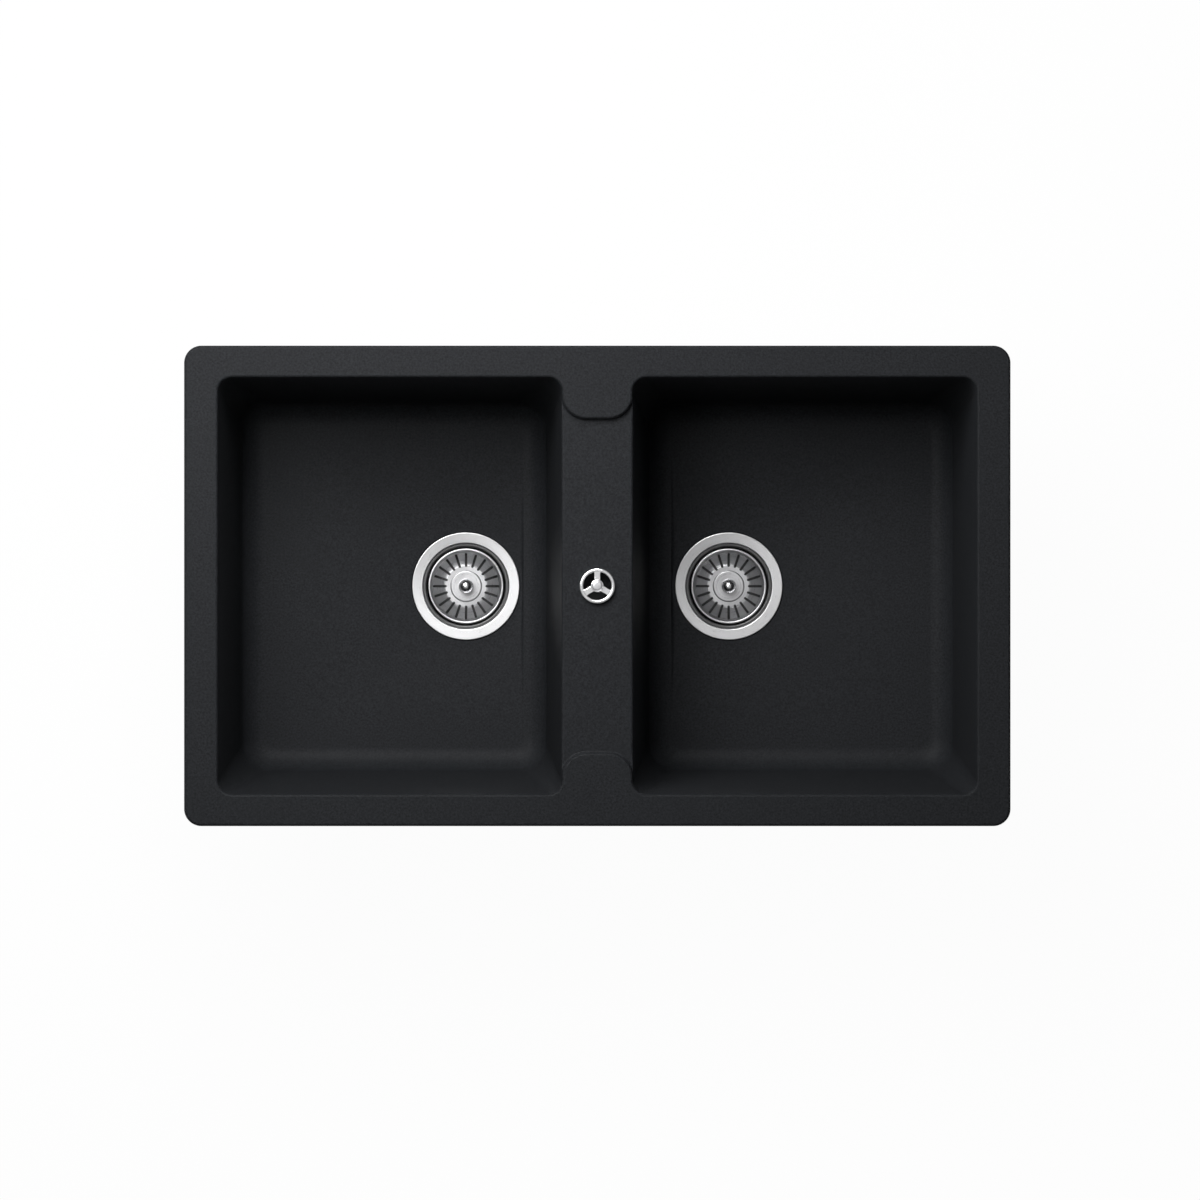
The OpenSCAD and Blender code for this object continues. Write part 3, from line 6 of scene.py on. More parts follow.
import bmesh
import bpy
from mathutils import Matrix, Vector


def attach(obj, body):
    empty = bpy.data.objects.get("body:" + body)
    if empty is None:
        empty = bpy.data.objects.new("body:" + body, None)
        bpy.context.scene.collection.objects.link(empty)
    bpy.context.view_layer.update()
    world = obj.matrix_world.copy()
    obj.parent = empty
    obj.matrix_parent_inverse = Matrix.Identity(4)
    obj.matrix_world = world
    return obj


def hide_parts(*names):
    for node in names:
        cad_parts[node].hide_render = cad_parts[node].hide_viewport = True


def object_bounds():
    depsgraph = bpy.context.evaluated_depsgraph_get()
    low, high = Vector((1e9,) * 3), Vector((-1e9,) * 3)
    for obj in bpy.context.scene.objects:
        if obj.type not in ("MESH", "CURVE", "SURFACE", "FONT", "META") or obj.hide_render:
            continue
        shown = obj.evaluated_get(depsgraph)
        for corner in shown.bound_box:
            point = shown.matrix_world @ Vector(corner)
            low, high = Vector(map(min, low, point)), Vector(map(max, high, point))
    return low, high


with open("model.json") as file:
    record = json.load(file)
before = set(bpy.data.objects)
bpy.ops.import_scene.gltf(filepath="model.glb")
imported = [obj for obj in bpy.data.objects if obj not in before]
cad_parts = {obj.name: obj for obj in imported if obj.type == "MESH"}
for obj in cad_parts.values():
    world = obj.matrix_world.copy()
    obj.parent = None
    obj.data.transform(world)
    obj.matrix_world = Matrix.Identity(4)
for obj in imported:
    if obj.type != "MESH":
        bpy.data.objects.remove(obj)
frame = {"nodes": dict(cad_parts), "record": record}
cad_low, cad_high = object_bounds()

MM = 0.001

# Rim and bowls
SINK_W, SINK_D, RIM_H = 860.0, 500.0, 9.0
RIM_CORNER_R, RIM_ROUND = 18.0, 3.0
RIM_SIDE_W, RIM_END_W = 35.0, 33.0
BOWL_DEPTH, FLOOR_FALL = 200.0, 4.0
BOWL_CORNER_R, FOOT_CORNER_R, FLOOR_CORNER_R = 15.0, 28.0, 14.0
SIDE_DRAFT, END_DRAFT_EXTRA = 17.0, 4.0
COVE_R, EDGE_ROUND = 25.0, 2.6
WALL_T, FLOOR_T = 9.0, 12.0

# Bridge
BRIDGE_W, BRIDGE_DROP, BRIDGE_T = 73.0, 8.0, 12.0
TONGUE_REACH, TONGUE_CORNER_R, TONGUE_OVERLAP = 43.0, 26.0, 0.6
COLLAR_BORE_R, TAP_BLANK_R, TAP_SKIN_T = 17.5, 17.5, 4.0
WEB_END_GAP = 14.0

# Bosses and sealing groove under the rim
BOSS_R, BOSS_H, END_CLAMP_Y = 6.5, 10.0, 110.0
INSERT_BORE_R, INSERT_BORE_TOP = BOSS_R - 2.45, -1.5
STRIP_W, STRIP_H, STRIP_MARGIN, RUN_FIT = 6.0, 1.6, 4.0, 0.05

# Strainers
DRAIN_X, DRAIN_BORE_R, FLANGE_R = 140.0, 45.0, 57.3
CUP_SHEET_T, FLANGE_SEAL_T, STEP_R, LEDGE_DEPTH = 1.2, 1.2, 45.4, 2.4
CUP_R, CUP_DEPTH, THROAT_R, BOLT_R, BOLT_HEAD_R = 41.6, 27.6, 15.5, 4.95, 7.2
BASKET_R, BASKET_SHEET_T, BASKET_SINK, BASKET_DEPTH = 40.5, 1.0, 4.0, 19.0
PLATEAU_R, PLATEAU_H, DISC_R, DISC_H = 22.5, 1.5, 16.0, 1.5
DISH_RISE, DISH_FOOT_RISE = 10.5, 6.0
SLOT_COUNT, SLOT_W = 20, 2.6
BALL_R, BALL_H, STEM_R = 7.8, 11.0, 3.0
FLANGE_FALL = 0.45

# Control
KNOB_R, KNOB_RING_W, KNOB_RING_H = 18.2, 3.5, 4.3
HUB_R, HUB_H, SPOKE_W, SPOKE_T = 6.6, 5.7, 6.0, 2.6
COLLAR_SEAL_T, COLLAR_LIP_T, KNOB_GAP = 0.6, 1.0, 0.3
CAP_R, CAP_RECESS = 5.5, 1.6
SPINDLE_R = 3.0

# Facets of the fine meshes
CORNER, SIDE, COVE, EDGE, FLOOR_STEPS = 16, 12, 12, 6, 10
TURN, SMALL_TURN, BOSS_TURN = 160, 96, 48

BOWL_HX = (SINK_W / 2 - RIM_SIDE_W - BRIDGE_W / 2) / 2
BOWL_HY = SINK_D / 2 - RIM_END_W
BOWL_X = BRIDGE_W / 2 + BOWL_HX
BRIDGE_Z = RIM_H - BRIDGE_DROP
KNOB_Z = BRIDGE_Z + COLLAR_SEAL_T + COLLAR_LIP_T + KNOB_GAP
BRIDGE_UNDER_Z = BRIDGE_Z - BRIDGE_T
DRAIN_Z = RIM_H - BOWL_DEPTH
FLOOR_EDGE_Z = DRAIN_Z + FLOOR_FALL
FLOOR_UNDER_Z = DRAIN_Z - FLOOR_T
WALL_ANGLE = math.degrees(math.atan(SIDE_DRAFT / (RIM_H - EDGE_ROUND - FLOOR_EDGE_Z - COVE_R)))
RECESS_R, RECESS_DEPTH = FLANGE_R + 1, CUP_SHEET_T + FLANGE_SEAL_T
TONGUE_X = BRIDGE_W / 2 - TONGUE_CORNER_R + TONGUE_OVERLAP
TONGUE_Y = BOWL_HY - TONGUE_REACH + TONGUE_CORNER_R


def sin(a):
    return math.sin(math.radians(a))


def cos(a):
    return math.cos(math.radians(a))


# Mesh tools


def make(name, points, faces):
    """Object from points in millimetres, with its normals outwards."""
    mesh = bpy.data.meshes.new(name)
    mesh.from_pydata([(x * MM, y * MM, z * MM) for x, y, z in points], [], faces)
    made = bmesh.new()
    made.from_mesh(mesh)
    bmesh.ops.recalc_face_normals(made, faces=made.faces)
    made.to_mesh(mesh)
    made.free()
    obj = bpy.data.objects.new(name, mesh)
    bpy.context.scene.collection.objects.link(obj)
    return obj


def arc(cx, cy, r, start, end, steps):
    return [
        (cx + r * cos(start + (end - start) * i / steps), cy + r * sin(start + (end - start) * i / steps))
        for i in range(steps + 1)
    ]


def rounded_ring(cx, hx, hy, r, z, corner=CORNER, side=1):
    """Rounded rectangle at height z, counterclockwise, with side - 1 extra points on each straight."""
    arcs = []
    for c in range(4):
        sx = 1 if c in (0, 3) else -1
        sy = 1 if c < 2 else -1
        arcs.append(arc(sx * (hx - r), sy * (hy - r), r, 90 * c, 90 * c + 90, corner))
    ring = []
    for c in range(4):
        last, after = arcs[c][-1], arcs[(c + 1) % 4][0]
        ring += arcs[c]
        ring += [
            (last[0] + (after[0] - last[0]) * i / side, last[1] + (after[1] - last[1]) * i / side)
            for i in range(1, side)
        ]
    return [(cx + x, y, z) for x, y in ring]


def loft(name, rings):
    """Closed solid through rings with equal numbers of points."""
    n = len(rings[0])
    faces = [tuple(reversed(range(n)))]
    for k in range(len(rings) - 1):
        for i in range(n):
            a, b = k * n + i, k * n + (i + 1) % n
            faces.append((a, b, b + n, a + n))
    faces.append(tuple(range((len(rings) - 1) * n, len(rings) * n)))
    return make(name, [p for ring in rings for p in ring], faces)


def revolve(name, outline, at=(0, 0, 0), steps=TURN):
    """Solid of revolution about Z from a closed outline of (radius, height)."""
    points, rows, faces = [], [], []
    for r, z in outline:
        count = 1 if r < 1e-6 else steps
        rows.append((len(points), count))
        for i in range(count):
            a = 360 * i / steps
            points.append((at[0] + r * cos(a), at[1] + r * sin(a), at[2] + z))
    for k, (a, na) in enumerate(rows):
        b, nb = rows[(k + 1) % len(rows)]
        if na == 1 and nb == 1:
            continue
        for i in range(steps):
            j = (i + 1) % steps
            if na == 1:
                faces.append((a, b + j, b + i))
            elif nb == 1:
                faces.append((a + i, a + j, b))
            else:
                faces.append((a + i, a + j, b + j, b + i))
    return make(name, points, faces)


def block(name, low, high):
    (x0, y0, z0), (x1, y1, z1) = low, high
    ring = [(x0, y0), (x1, y0), (x1, y1), (x0, y1)]
    return loft(name, [[(x, y, z) for x, y in ring] for z in (z0, z1)])


def prism(name, outline, z0, z1):
    return loft(name, [[(x, y, z) for x, y in outline] for z in (z0, z1)])


def join(objects):
    """One object from several that don't touch."""
    first = objects[0]
    made = bmesh.new()
    for obj in objects:
        made.from_mesh(obj.data)
    made.to_mesh(first.data)
    made.free()
    for obj in objects[1:]:
        bpy.data.objects.remove(obj)
    return first


def apply_modifiers(obj):
    bpy.context.view_layer.update()
    seen = obj.evaluated_get(bpy.context.evaluated_depsgraph_get())
    mesh = bpy.data.meshes.new_from_object(seen)
    mesh.name = obj.name
    obj.modifiers.clear()
    obj.data = mesh
    return obj


def carve(obj, tool, operation="DIFFERENCE"):
    """Joins the tool to the object or takes it away, and removes the tool."""
    modifier = obj.modifiers.new("carve", "BOOLEAN")
    modifier.operation = operation
    modifier.solver = "EXACT"
    modifier.object = tool
    apply_modifiers(obj)
    bpy.data.objects.remove(tool)
    return obj


def smooth(obj, angle=32):
    """Smooth shading with sharp edges over the angle, and flat faces that stay flat."""
    made = bmesh.new()
    made.from_mesh(obj.data)
    bmesh.ops.dissolve_degenerate(made, dist=1e-7, edges=made.edges)
    for face in made.faces:
        face.smooth = True
    for edge in made.edges:
        edge.smooth = edge.calc_face_angle(math.pi) < math.radians(angle)
    made.to_mesh(obj.data)
    made.free()
    modifier = obj.modifiers.new("flat", "WEIGHTED_NORMAL")
    modifier.keep_sharp = True
    modifier.weight = 50
    return apply_modifiers(obj)


def turned_points(points, angle):
    """Flat points turned about the origin."""
    return [(x * cos(angle) - y * sin(angle), x * sin(angle) + y * cos(angle)) for x, y in points]


def mirrored(points):
    return [(-x, y, z) for x, y, z in points]


def unit(x, y):
    size = math.hypot(x, y)
    return (x / size, y / size)


def bent_path(points, steps=8):
    """Path with rounded corners, from points given as (x, y, bend radius)."""
    path = []
    for i, (x, y, r) in enumerate(points):
        if r == 0:
            path.append((x, y))
            continue
        u = unit(points[i - 1][0] - x, points[i - 1][1] - y)
        v = unit(points[i + 1][0] - x, points[i + 1][1] - y)
        half = math.acos(max(-1, min(1, u[0] * v[0] + u[1] * v[1]))) / 2
        w = unit(u[0] + v[0], u[1] + v[1])
        cx, cy = x + w[0] * r / math.sin(half), y + w[1] * r / math.sin(half)
        reach = r / math.tan(half)
        start = math.degrees(math.atan2(y + u[1] * reach - cy, x + u[0] * reach - cx))
        swing = math.degrees(math.atan2(y + v[1] * reach - cy, x + v[0] * reach - cx)) - start
        swing = (swing + 180) % 360 - 180
        path += arc(cx, cy, r, start, start + swing, steps)
    return path


def moved_path(path, d):
    """Path moved sideways by d, to the left of its direction."""
    moved, last = [], len(path) - 1
    for i, (x, y) in enumerate(path):
        a, b = path[max(i, 1) - 1], path[max(i, 1)]
        c, e = path[min(i, last - 1)], path[min(i, last - 1) + 1]
        before, after = unit(b[0] - a[0], b[1] - a[1]), unit(e[0] - c[0], e[1] - c[1])
        mean = unit(before[0] + after[0], before[1] + after[1])
        share = mean[0] * after[0] + mean[1] * after[1]
        moved.append((x - mean[1] * d / share, y + mean[0] * d / share))
    return moved


def sheet(path, t):
    return moved_path(path, t / 2) + list(reversed(moved_path(path, -t / 2)))


# Materials: each has its own procedural colour, roughness and relief


class Paint:
    def __init__(self, name, **sockets):
        self.material = bpy.data.materials.new(name)
        self.material.use_nodes = True
        self.tree = self.material.node_tree
        self.tree.nodes.clear()
        self.shader = self.add("ShaderNodeBsdfPrincipled", **sockets)
        self.join(self.shader.outputs[0], self.add("ShaderNodeOutputMaterial").inputs["Surface"])
        self.place = self.add("ShaderNodeTexCoord").outputs["Object"]

    def add(self, kind, **sockets):
        node = self.tree.nodes.new(kind)
        for name, value in sockets.items():
            node.inputs[name.replace("_", " ")].default_value = value
        return node

    def join(self, output, socket):
        self.tree.links.new(output, socket)

    def put(self, socket, value):
        self.join(value, self.shader.inputs[socket])

    def scaled(self, x, y, z):
        node = self.add("ShaderNodeMapping")
        node.inputs["Scale"].default_value = (x, y, z)
        self.join(self.place, node.inputs["Vector"])
        return node.outputs[0]

    def noise(self, scale, detail=2.0, rough=0.5, vector=None):
        node = self.add("ShaderNodeTexNoise", Scale=scale, Detail=detail, Roughness=rough)
        self.join(vector or self.place, node.inputs["Vector"])
        return node.outputs[0]

    def cells(self, scale):
        node = self.add("ShaderNodeTexVoronoi", Scale=scale)
        self.join(self.place, node.inputs["Vector"])
        return node.outputs["Distance"]

    def level(self, value, low, high, to_low, to_high):
        node = self.add("ShaderNodeMapRange")
        for socket, number in zip(node.inputs[1:5], (low, high, to_low, to_high), strict=True):
            socket.default_value = number
        self.join(value, node.inputs[0])
        return node.outputs[0]

    def maths(self, operation, a, b):
        node = self.add("ShaderNodeMath")
        node.operation = operation
        for socket, value in zip(node.inputs[:2], (a, b), strict=True):
            if isinstance(value, (int, float)):
                socket.default_value = value
            else:
                self.join(value, socket)
        return node.outputs[0]

    def colours(self, value, low, high):
        node = self.add("ShaderNodeMix")
        node.data_type = "RGBA"
        self.join(value, node.inputs[0])
        for socket, colour in zip((node.inputs[6], node.inputs[7]), (low, high), strict=True):
            if isinstance(colour, tuple):
                socket.default_value = (*colour, 1)
            else:
                self.join(colour, socket)
        return node.outputs[2]

    def relief(self, height, distance, strength=1.0):
        node = self.add("ShaderNodeBump", Strength=strength, Distance=distance)
        self.join(height, node.inputs["Height"])
        self.put("Normal", node.outputs[0])

    def radius(self):
        """Distance from the piece's own axis."""
        flat = self.add("ShaderNodeVectorMath")
        flat.operation = "MULTIPLY"
        flat.inputs[1].default_value = (1, 1, 0)
        self.join(self.place, flat.inputs[0])
        length = self.add("ShaderNodeVectorMath")
        length.operation = "LENGTH"
        self.join(flat.outputs[0], length.inputs[0])
        return length.outputs["Value"]

    def lines(self, value, scale, detail=3.0):
        node = self.add("ShaderNodeTexNoise", Scale=scale, Detail=detail)
        node.noise_dimensions = "1D"
        self.join(value, node.inputs["W"])
        return node.outputs[0]


def tint(colour, factor):
    return tuple(min(1.0, c * factor) for c in colour)


GRANITE, GRANITE_SPECULAR = (0.0150, 0.0160, 0.0178), 0.06
# Painted shade on the strainer cup: the height over which its colour fades, and the share of its colour that
# is left below it
PAINTED_SHADE_EDGE, PAINTED_SHADE_SHARE = 0.0008, 0.16


def granite():
    """Black composite: fine quartz grain, paler flecks and a faint cloudiness."""
    paint = Paint("granite", Specular_IOR_Level=GRANITE_SPECULAR)
    grain = paint.noise(1300, 3, 0.65)
    speckle = paint.level(paint.noise(460, 3, 0.7), 0.32, 0.68, 0, 1)
    cloud = paint.noise(24, 3, 0.6)
    fleck = paint.level(paint.cells(620), 0.05, 0.30, 1, 0)
    base = paint.colours(speckle, tint(GRANITE, 0.62), tint(GRANITE, 1.38))
    base = paint.colours(paint.level(cloud, 0.35, 0.65, 0, 0.25), base, tint(GRANITE, 0.90))
    base = paint.colours(paint.maths("MULTIPLY", fleck, 0.25), base, tint(GRANITE, 2.6))
    paint.put("Base Color", base)
    paint.put("Roughness", paint.level(grain, 0.25, 0.75, 0.46, 0.60))
    paint.relief(grain, 0.00012, 0.5)
    return paint.material


def brushed(name, colour, rough, depth, painted_shade_z=None):
    """Steel turned round its axis, with fine rings. Below the given height its colour is darkened towards
    black, which is painted shade; the roughness stays the same.
    """
    paint = Paint(name, Metallic=1.0, Anisotropic=0.2)
    rings = paint.lines(paint.radius(), 2600, 4)
    patches = paint.noise(160, 3, 0.6)
    base = paint.colours(paint.level(rings, 0.3, 0.7, 0, 1), tint(colour, 0.93), tint(colour, 1.04))
    if painted_shade_z is not None:
        # Painted shade: the base colour goes dark below the given height
        height = paint.add("ShaderNodeSeparateXYZ")
        paint.join(paint.place, height.inputs[0])
        painted_shade = paint.level(height.outputs["Z"], painted_shade_z - PAINTED_SHADE_EDGE, painted_shade_z, 1, 0)
        base = paint.colours(painted_shade, base, tint(colour, PAINTED_SHADE_SHARE))
    paint.put("Base Color", base)
    mixed = paint.maths("ADD", paint.maths("MULTIPLY", rings, 0.7), paint.maths("MULTIPLY", patches, 0.3))
    paint.put("Roughness", paint.level(mixed, 0.3, 0.7, rough - 0.07, rough + 0.07))
    tangent = paint.add("ShaderNodeTangent")
    tangent.direction_type = "RADIAL"
    tangent.axis = "Z"
    paint.put("Tangent", tangent.outputs[0])
    paint.relief(rings, depth, 0.5)
    return paint.material


def metal(name, colour, rough, spread, grain, depth):
    """Plated or polished metal, with a fine grain and soft blotches in its gloss."""
    paint = Paint(name, Metallic=1.0)
    blotch = paint.noise(180, 4, 0.6)
    fine = paint.noise(grain, 2, 0.5)
    bright = paint.level(blotch, 0.3, 0.7, 0, 1)
    paint.put("Base Color", paint.colours(bright, tint(colour, 0.94), tint(colour, 1.03)))
    paint.put("Roughness", paint.level(blotch, 0.3, 0.7, rough - spread, rough + spread))
    paint.relief(fine, depth, 0.4)
    return paint.material


def turned(name, colour, rough):
    """Turned brass: tool marks across its length and a slight tarnish."""
    paint = Paint(name, Metallic=1.0)
    marks = paint.noise(30, 2, 0.5, paint.scaled(1, 1, 90))
    tarnish = paint.noise(260, 4, 0.65)
    paint.put("Base Color", paint.colours(paint.level(tarnish, 0.4, 0.75, 0, 1), colour, tint(colour, 0.62)))
    paint.put("Roughness", paint.level(tarnish, 0.3, 0.7, rough, rough + 0.16))
    paint.relief(marks, 0.00008, 0.5)
    return paint.material


def moulded(name, colour, rough, grain=1100, depth=0.00007, dust=0.12, **sockets):
    """Moulded plastic or rubber: spark-eroded grain, flow marks and a little dust."""
    paint = Paint(name, **sockets)
    fine = paint.noise(grain, 2, 0.6)
    flow = paint.noise(70, 3, 0.55)
    base = paint.colours(paint.level(flow, 0.3, 0.7, 0, 1), tint(colour, 0.86), tint(colour, 1.10))
    pale = tuple(c + dust * 0.12 for c in colour)
    base = paint.colours(paint.level(fine, 0.58, 0.80, 0, 0.5), base, pale)
    paint.put("Base Color", base)
    mixed = paint.maths("MULTIPLY", fine, flow)
    paint.put("Roughness", paint.level(mixed, 0.15, 0.4, rough - 0.06, rough + 0.08))
    paint.relief(fine, depth, 0.6)
    return paint.material


finishes = {
    "granite": granite(),
    "brushed_steel": brushed("brushed_steel", (0.50, 0.50, 0.505), 0.34, 0.000008),
    "basket_steel": brushed("basket_steel", (0.42, 0.42, 0.428), 0.32, 0.000005),
    "polished_chrome": metal("polished_chrome", (0.90, 0.90, 0.91), 0.16, 0.04, 900, 0.000003),
    "satin_chrome": metal("satin_chrome", (0.47, 0.47, 0.48), 0.36, 0.05, 1500, 0.000004),
    "zinc_steel": metal("zinc_steel", (0.60, 0.61, 0.62), 0.36, 0.08, 700, 0.00003),
    "brass": turned("brass", (0.62, 0.48, 0.20), 0.28),
    "seal_rubber": moulded("seal_rubber", (0.020, 0.020, 0.021), 0.74, 900, 0.00010),
    "dark_plastic": moulded("dark_plastic", (0.045, 0.047, 0.050), 0.50),
    "collar_plastic": moulded("collar_plastic", (0.110, 0.122, 0.118), 0.46),
    "grey_plastic": moulded("grey_plastic", (0.110, 0.115, 0.120), 0.44, 800, 0.00006),
    "pale_plastic": moulded("pale_plastic", (0.66, 0.66, 0.62), 0.38, 1200, 0.00003, 0.4),
    "cable_sheath": moulded("cable_sheath", (0.012, 0.012, 0.013), 0.40, 1400, 0.00004),
}
# The cup's colour is darkened everywhere below just under its flange: painted shade inside the cup, under
# the basket's slots
cup_steel = brushed("cup_steel", (0.46, 0.46, 0.465), 0.34, 0.000008, painted_shade_z=-0.0014)
ball_steel = metal("ball_steel", (0.66, 0.66, 0.67), 0.24, 0.03, 900, 0.000004)
slot_of = {row["node"]: row["material_slot"] for row in frame["record"]["subparts"]}

for node, obj in frame["nodes"].items():
    for holder in obj.material_slots:
        holder.material = finishes[slot_of[node]]


def dress(obj, body, *replaced, finish=None):
    """The piece takes its finish, body and place from the CAD nodes that it stands for."""
    slot = slot_of[replaced[0]]
    obj.data.materials.clear()
    obj.data.materials.append(finish or finishes[slot])
    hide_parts(*replaced)
    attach(obj, body)
    return obj


# Moulding


def plate_ring(inset, z):
    return rounded_ring(0, SINK_W / 2 - inset, SINK_D / 2 - inset, RIM_CORNER_R - inset, z)


def bowl_ring(inset, extra, r, z, side=SIDE):
    return rounded_ring(BOWL_X, BOWL_HX - inset, BOWL_HY - inset - extra, r, z, CORNER, side)


def drain_ring(z):
    n = 4 * (CORNER + SIDE)
    r = RECESS_R + 2
    return [
        (DRAIN_X + r * cos(45 + (i - CORNER / 2) * 360 / n), r * sin(45 + (i - CORNER / 2) * 360 / n), z)
        for i in range(n)
    ]


def cove_rings(r, z0, corner_shift, side):
    """Rings from the floor round the cove and up to the wall, for a cove of radius r."""
    inset_0 = SIDE_DRAFT + COVE_R * cos(WALL_ANGLE)
    rings = []
    for i in range(COVE + 1):
        a = 90 - (90 - WALL_ANGLE) * i / COVE
        inset = inset_0 - r * cos(a)
        share = 1 - i / COVE if corner_shift else (inset - SIDE_DRAFT) / (inset_0 - SIDE_DRAFT)
        corner = FOOT_CORNER_R + corner_shift - (FOOT_CORNER_R - FLOOR_CORNER_R) * share
        rings.append(bowl_ring(inset, END_DRAFT_EXTRA, corner, z0 + r * (1 - sin(a)), side))
    return rings


def bore(r, z0, z1):
    """Outline of a plain round hole."""
    return [(0, z0), (r, z0), (r, z1), (0, z1)]


def both_sides(name, rings):
    return join([loft(name, rings), loft(name + "_left", [mirrored(ring) for ring in rings])])


def sink_moulding():
    web_x, web_y = BRIDGE_W / 2 - 3, SINK_D / 2 - WEB_END_GAP
    places = [
        (sx * x, sy * y)
        for sx in (-1, 1)
        for sy in (-1, 1)
        for x, y in (
            (BOWL_X, BOWL_HY + WALL_T + BOSS_R - 1),
            (BOWL_X + BOWL_HX + WALL_T + BOSS_R - 1, END_CLAMP_Y),
        )
    ]
    rim_edge = arc(0, RIM_H - RIM_ROUND, RIM_ROUND, 0, 90, EDGE)
    round_rings = [plate_ring(RIM_ROUND - x, z) for x, z in rim_edge]
    foot_rings = [plate_ring(0.8, 0), plate_ring(0.25, 0.2), plate_ring(0, 0.8)]
    body = loft("granite_moulding", foot_rings + round_rings)
    shell = cove_rings(COVE_R + WALL_T, FLOOR_UNDER_Z, WALL_T, 1)
    shell.append(bowl_ring(-WALL_T, 0, BOWL_CORNER_R + WALL_T, RIM_H / 2, 1))
    carve(body, both_sides("shell", shell), "UNION")
    web = block("web", (-web_x, -web_y, BRIDGE_UNDER_Z), (web_x, web_y, RIM_H / 2))
    carve(body, web, "UNION")
    boss = [(0, -BOSS_H), (BOSS_R - 0.6, -BOSS_H), (BOSS_R, 0.6 - BOSS_H), (BOSS_R, 2), (0, 2)]
    carve(body, join([revolve("boss", boss, (x, y, 0), BOSS_TURN) for x, y in places]), "UNION")

    coves = cove_rings(COVE_R, FLOOR_EDGE_Z, 0, SIDE)
    middle, foot = drain_ring(DRAIN_Z), coves[0]
    cavity = [middle]
    for i in range(1, FLOOR_STEPS):
        share = i / FLOOR_STEPS
        cavity.append([
            (a + (c - a) * share, b + (d - b) * share, DRAIN_Z + FLOOR_FALL * sin(90 * share))
            for (a, b, _), (c, d, _) in zip(middle, foot, strict=True)
        ])
    cavity += coves
    for i in range(EDGE + 1):
        out = EDGE_ROUND * (1 - cos(90 * i / EDGE))
        cavity.append(bowl_ring(-out, 0, BOWL_CORNER_R + out, RIM_H - EDGE_ROUND * (1 - sin(90 * i / EDGE))))
    cavity.append(bowl_ring(-EDGE_ROUND, 0, BOWL_CORNER_R + EDGE_ROUND, RIM_H + 1))
    carve(body, both_sides("cavity", cavity))
    carve(body, bridge_space())
    carve(body, both_sides("bridge_edge", bridge_edge()))
    carve(body, drain_cuts())

    under = BRIDGE_UNDER_Z - 1
    holes = [
        revolve("hole", bore(INSERT_BORE_R, -BOSS_H - 1, INSERT_BORE_TOP), (x, y, 0), BOSS_TURN)
        for x, y in places
    ]
    for y in (TONGUE_Y + 5, -TONGUE_Y - 5):
        holes.append(revolve("blank", bore(TAP_BLANK_R, under, RIM_H - TAP_SKIN_T), (0, y, 0)))
    holes.append(revolve("collar", bore(COLLAR_BORE_R, under, 3)))
    out_x, out_y = SINK_W / 2 - STRIP_MARGIN + RUN_FIT, SINK_D / 2 - STRIP_MARGIN + RUN_FIT
    groove_w = STRIP_W + 2 * RUN_FIT
    outer = rounded_ring(0, out_x, out_y, 14, 0)
    inner = rounded_ring(0, out_x - groove_w, out_y - groove_w, 10, 0)
    holes.append(band("groove", outer, inner, -1, STRIP_H))
    carve(body, join(holes))
    return smooth(body)


def band(name, outer, inner, z0, z1):
    """Level band between two rings with equal numbers of points."""
    n = len(outer)
    corners = ((outer, z0), (outer, z1), (inner, z1), (inner, z0))
    loops = [[(x, y, z) for x, y, _ in ring] for ring, z in corners]
    faces = []
    for k in range(4):
        for i in range(n):
            j = (i + 1) % n
            a, b = k * n, (k + 1) % 4 * n
            faces.append((a + i, a + j, b + j, b + i))
    return make(name, [p for loop in loops for p in loop], faces)


def bridge_space():
    """Space over the lowered bridge, less the two tongues."""
    run = 1 / math.tan(math.radians(45 / EDGE))
    side = [(TONGUE_CORNER_R + EDGE_ROUND + run, BRIDGE_Z - 1)]
    for i in range(1, EDGE + 1):
        a = 90 * i / EDGE
        side.append((TONGUE_CORNER_R + EDGE_ROUND * (1 - sin(a)), BRIDGE_Z + EDGE_ROUND * (1 - cos(a))))
    for i in range(EDGE):
        a = 90 * i / EDGE
        side.append((TONGUE_CORNER_R - EDGE_ROUND * (1 - cos(a)), RIM_H - EDGE_ROUND * (1 - sin(a))))
    side.append((max(2, TONGUE_CORNER_R - EDGE_ROUND - 2 * run), RIM_H + 2))
    rings = []
    for r, z in side:
        right = arc(TONGUE_X, TONGUE_Y, r, 20, -90, 24)
        left = [(-x, y) for x, y in reversed(right)]
        rings.append([(x, y, z) for x, y in right + left])
    back = loft("tongue", rings)
    front = loft("tongue_front", [[(-x, -y, z) for x, y, z in ring] for ring in rings])
    x, y = BRIDGE_W / 2 + 8, TONGUE_Y - 1
    space = block("bridge_space", (-x, -y, BRIDGE_Z), (x, y, RIM_H + 1))
    return carve(space, join([back, front]))


def bridge_edge():
    """Round along the bridge's right edge, running out towards the tongues."""
    slope = math.tan(math.radians(WALL_ANGLE))
    edge_x = BRIDGE_W / 2 + (BRIDGE_DROP - EDGE_ROUND) * slope
    end = TONGUE_Y - TONGUE_CORNER_R / 2 + 1
    rings = []
    for y, r in ((-end, 0.3), (14 - end, EDGE_ROUND), (end - 14, EDGE_ROUND), (end, 0.3)):
        cx, cz = edge_x - r * (1 - sin(WALL_ANGLE)) / cos(WALL_ANGLE), BRIDGE_Z - r
        curve = arc(cx, cz, r, 90, WALL_ANGLE, EDGE)
        curve += [(edge_x + 2, cz + r * sin(WALL_ANGLE)), (edge_x + 2, BRIDGE_Z + 1), (cx, BRIDGE_Z + 1)]
        rings.append([(x, y, z) for x, z in curve])
    return rings


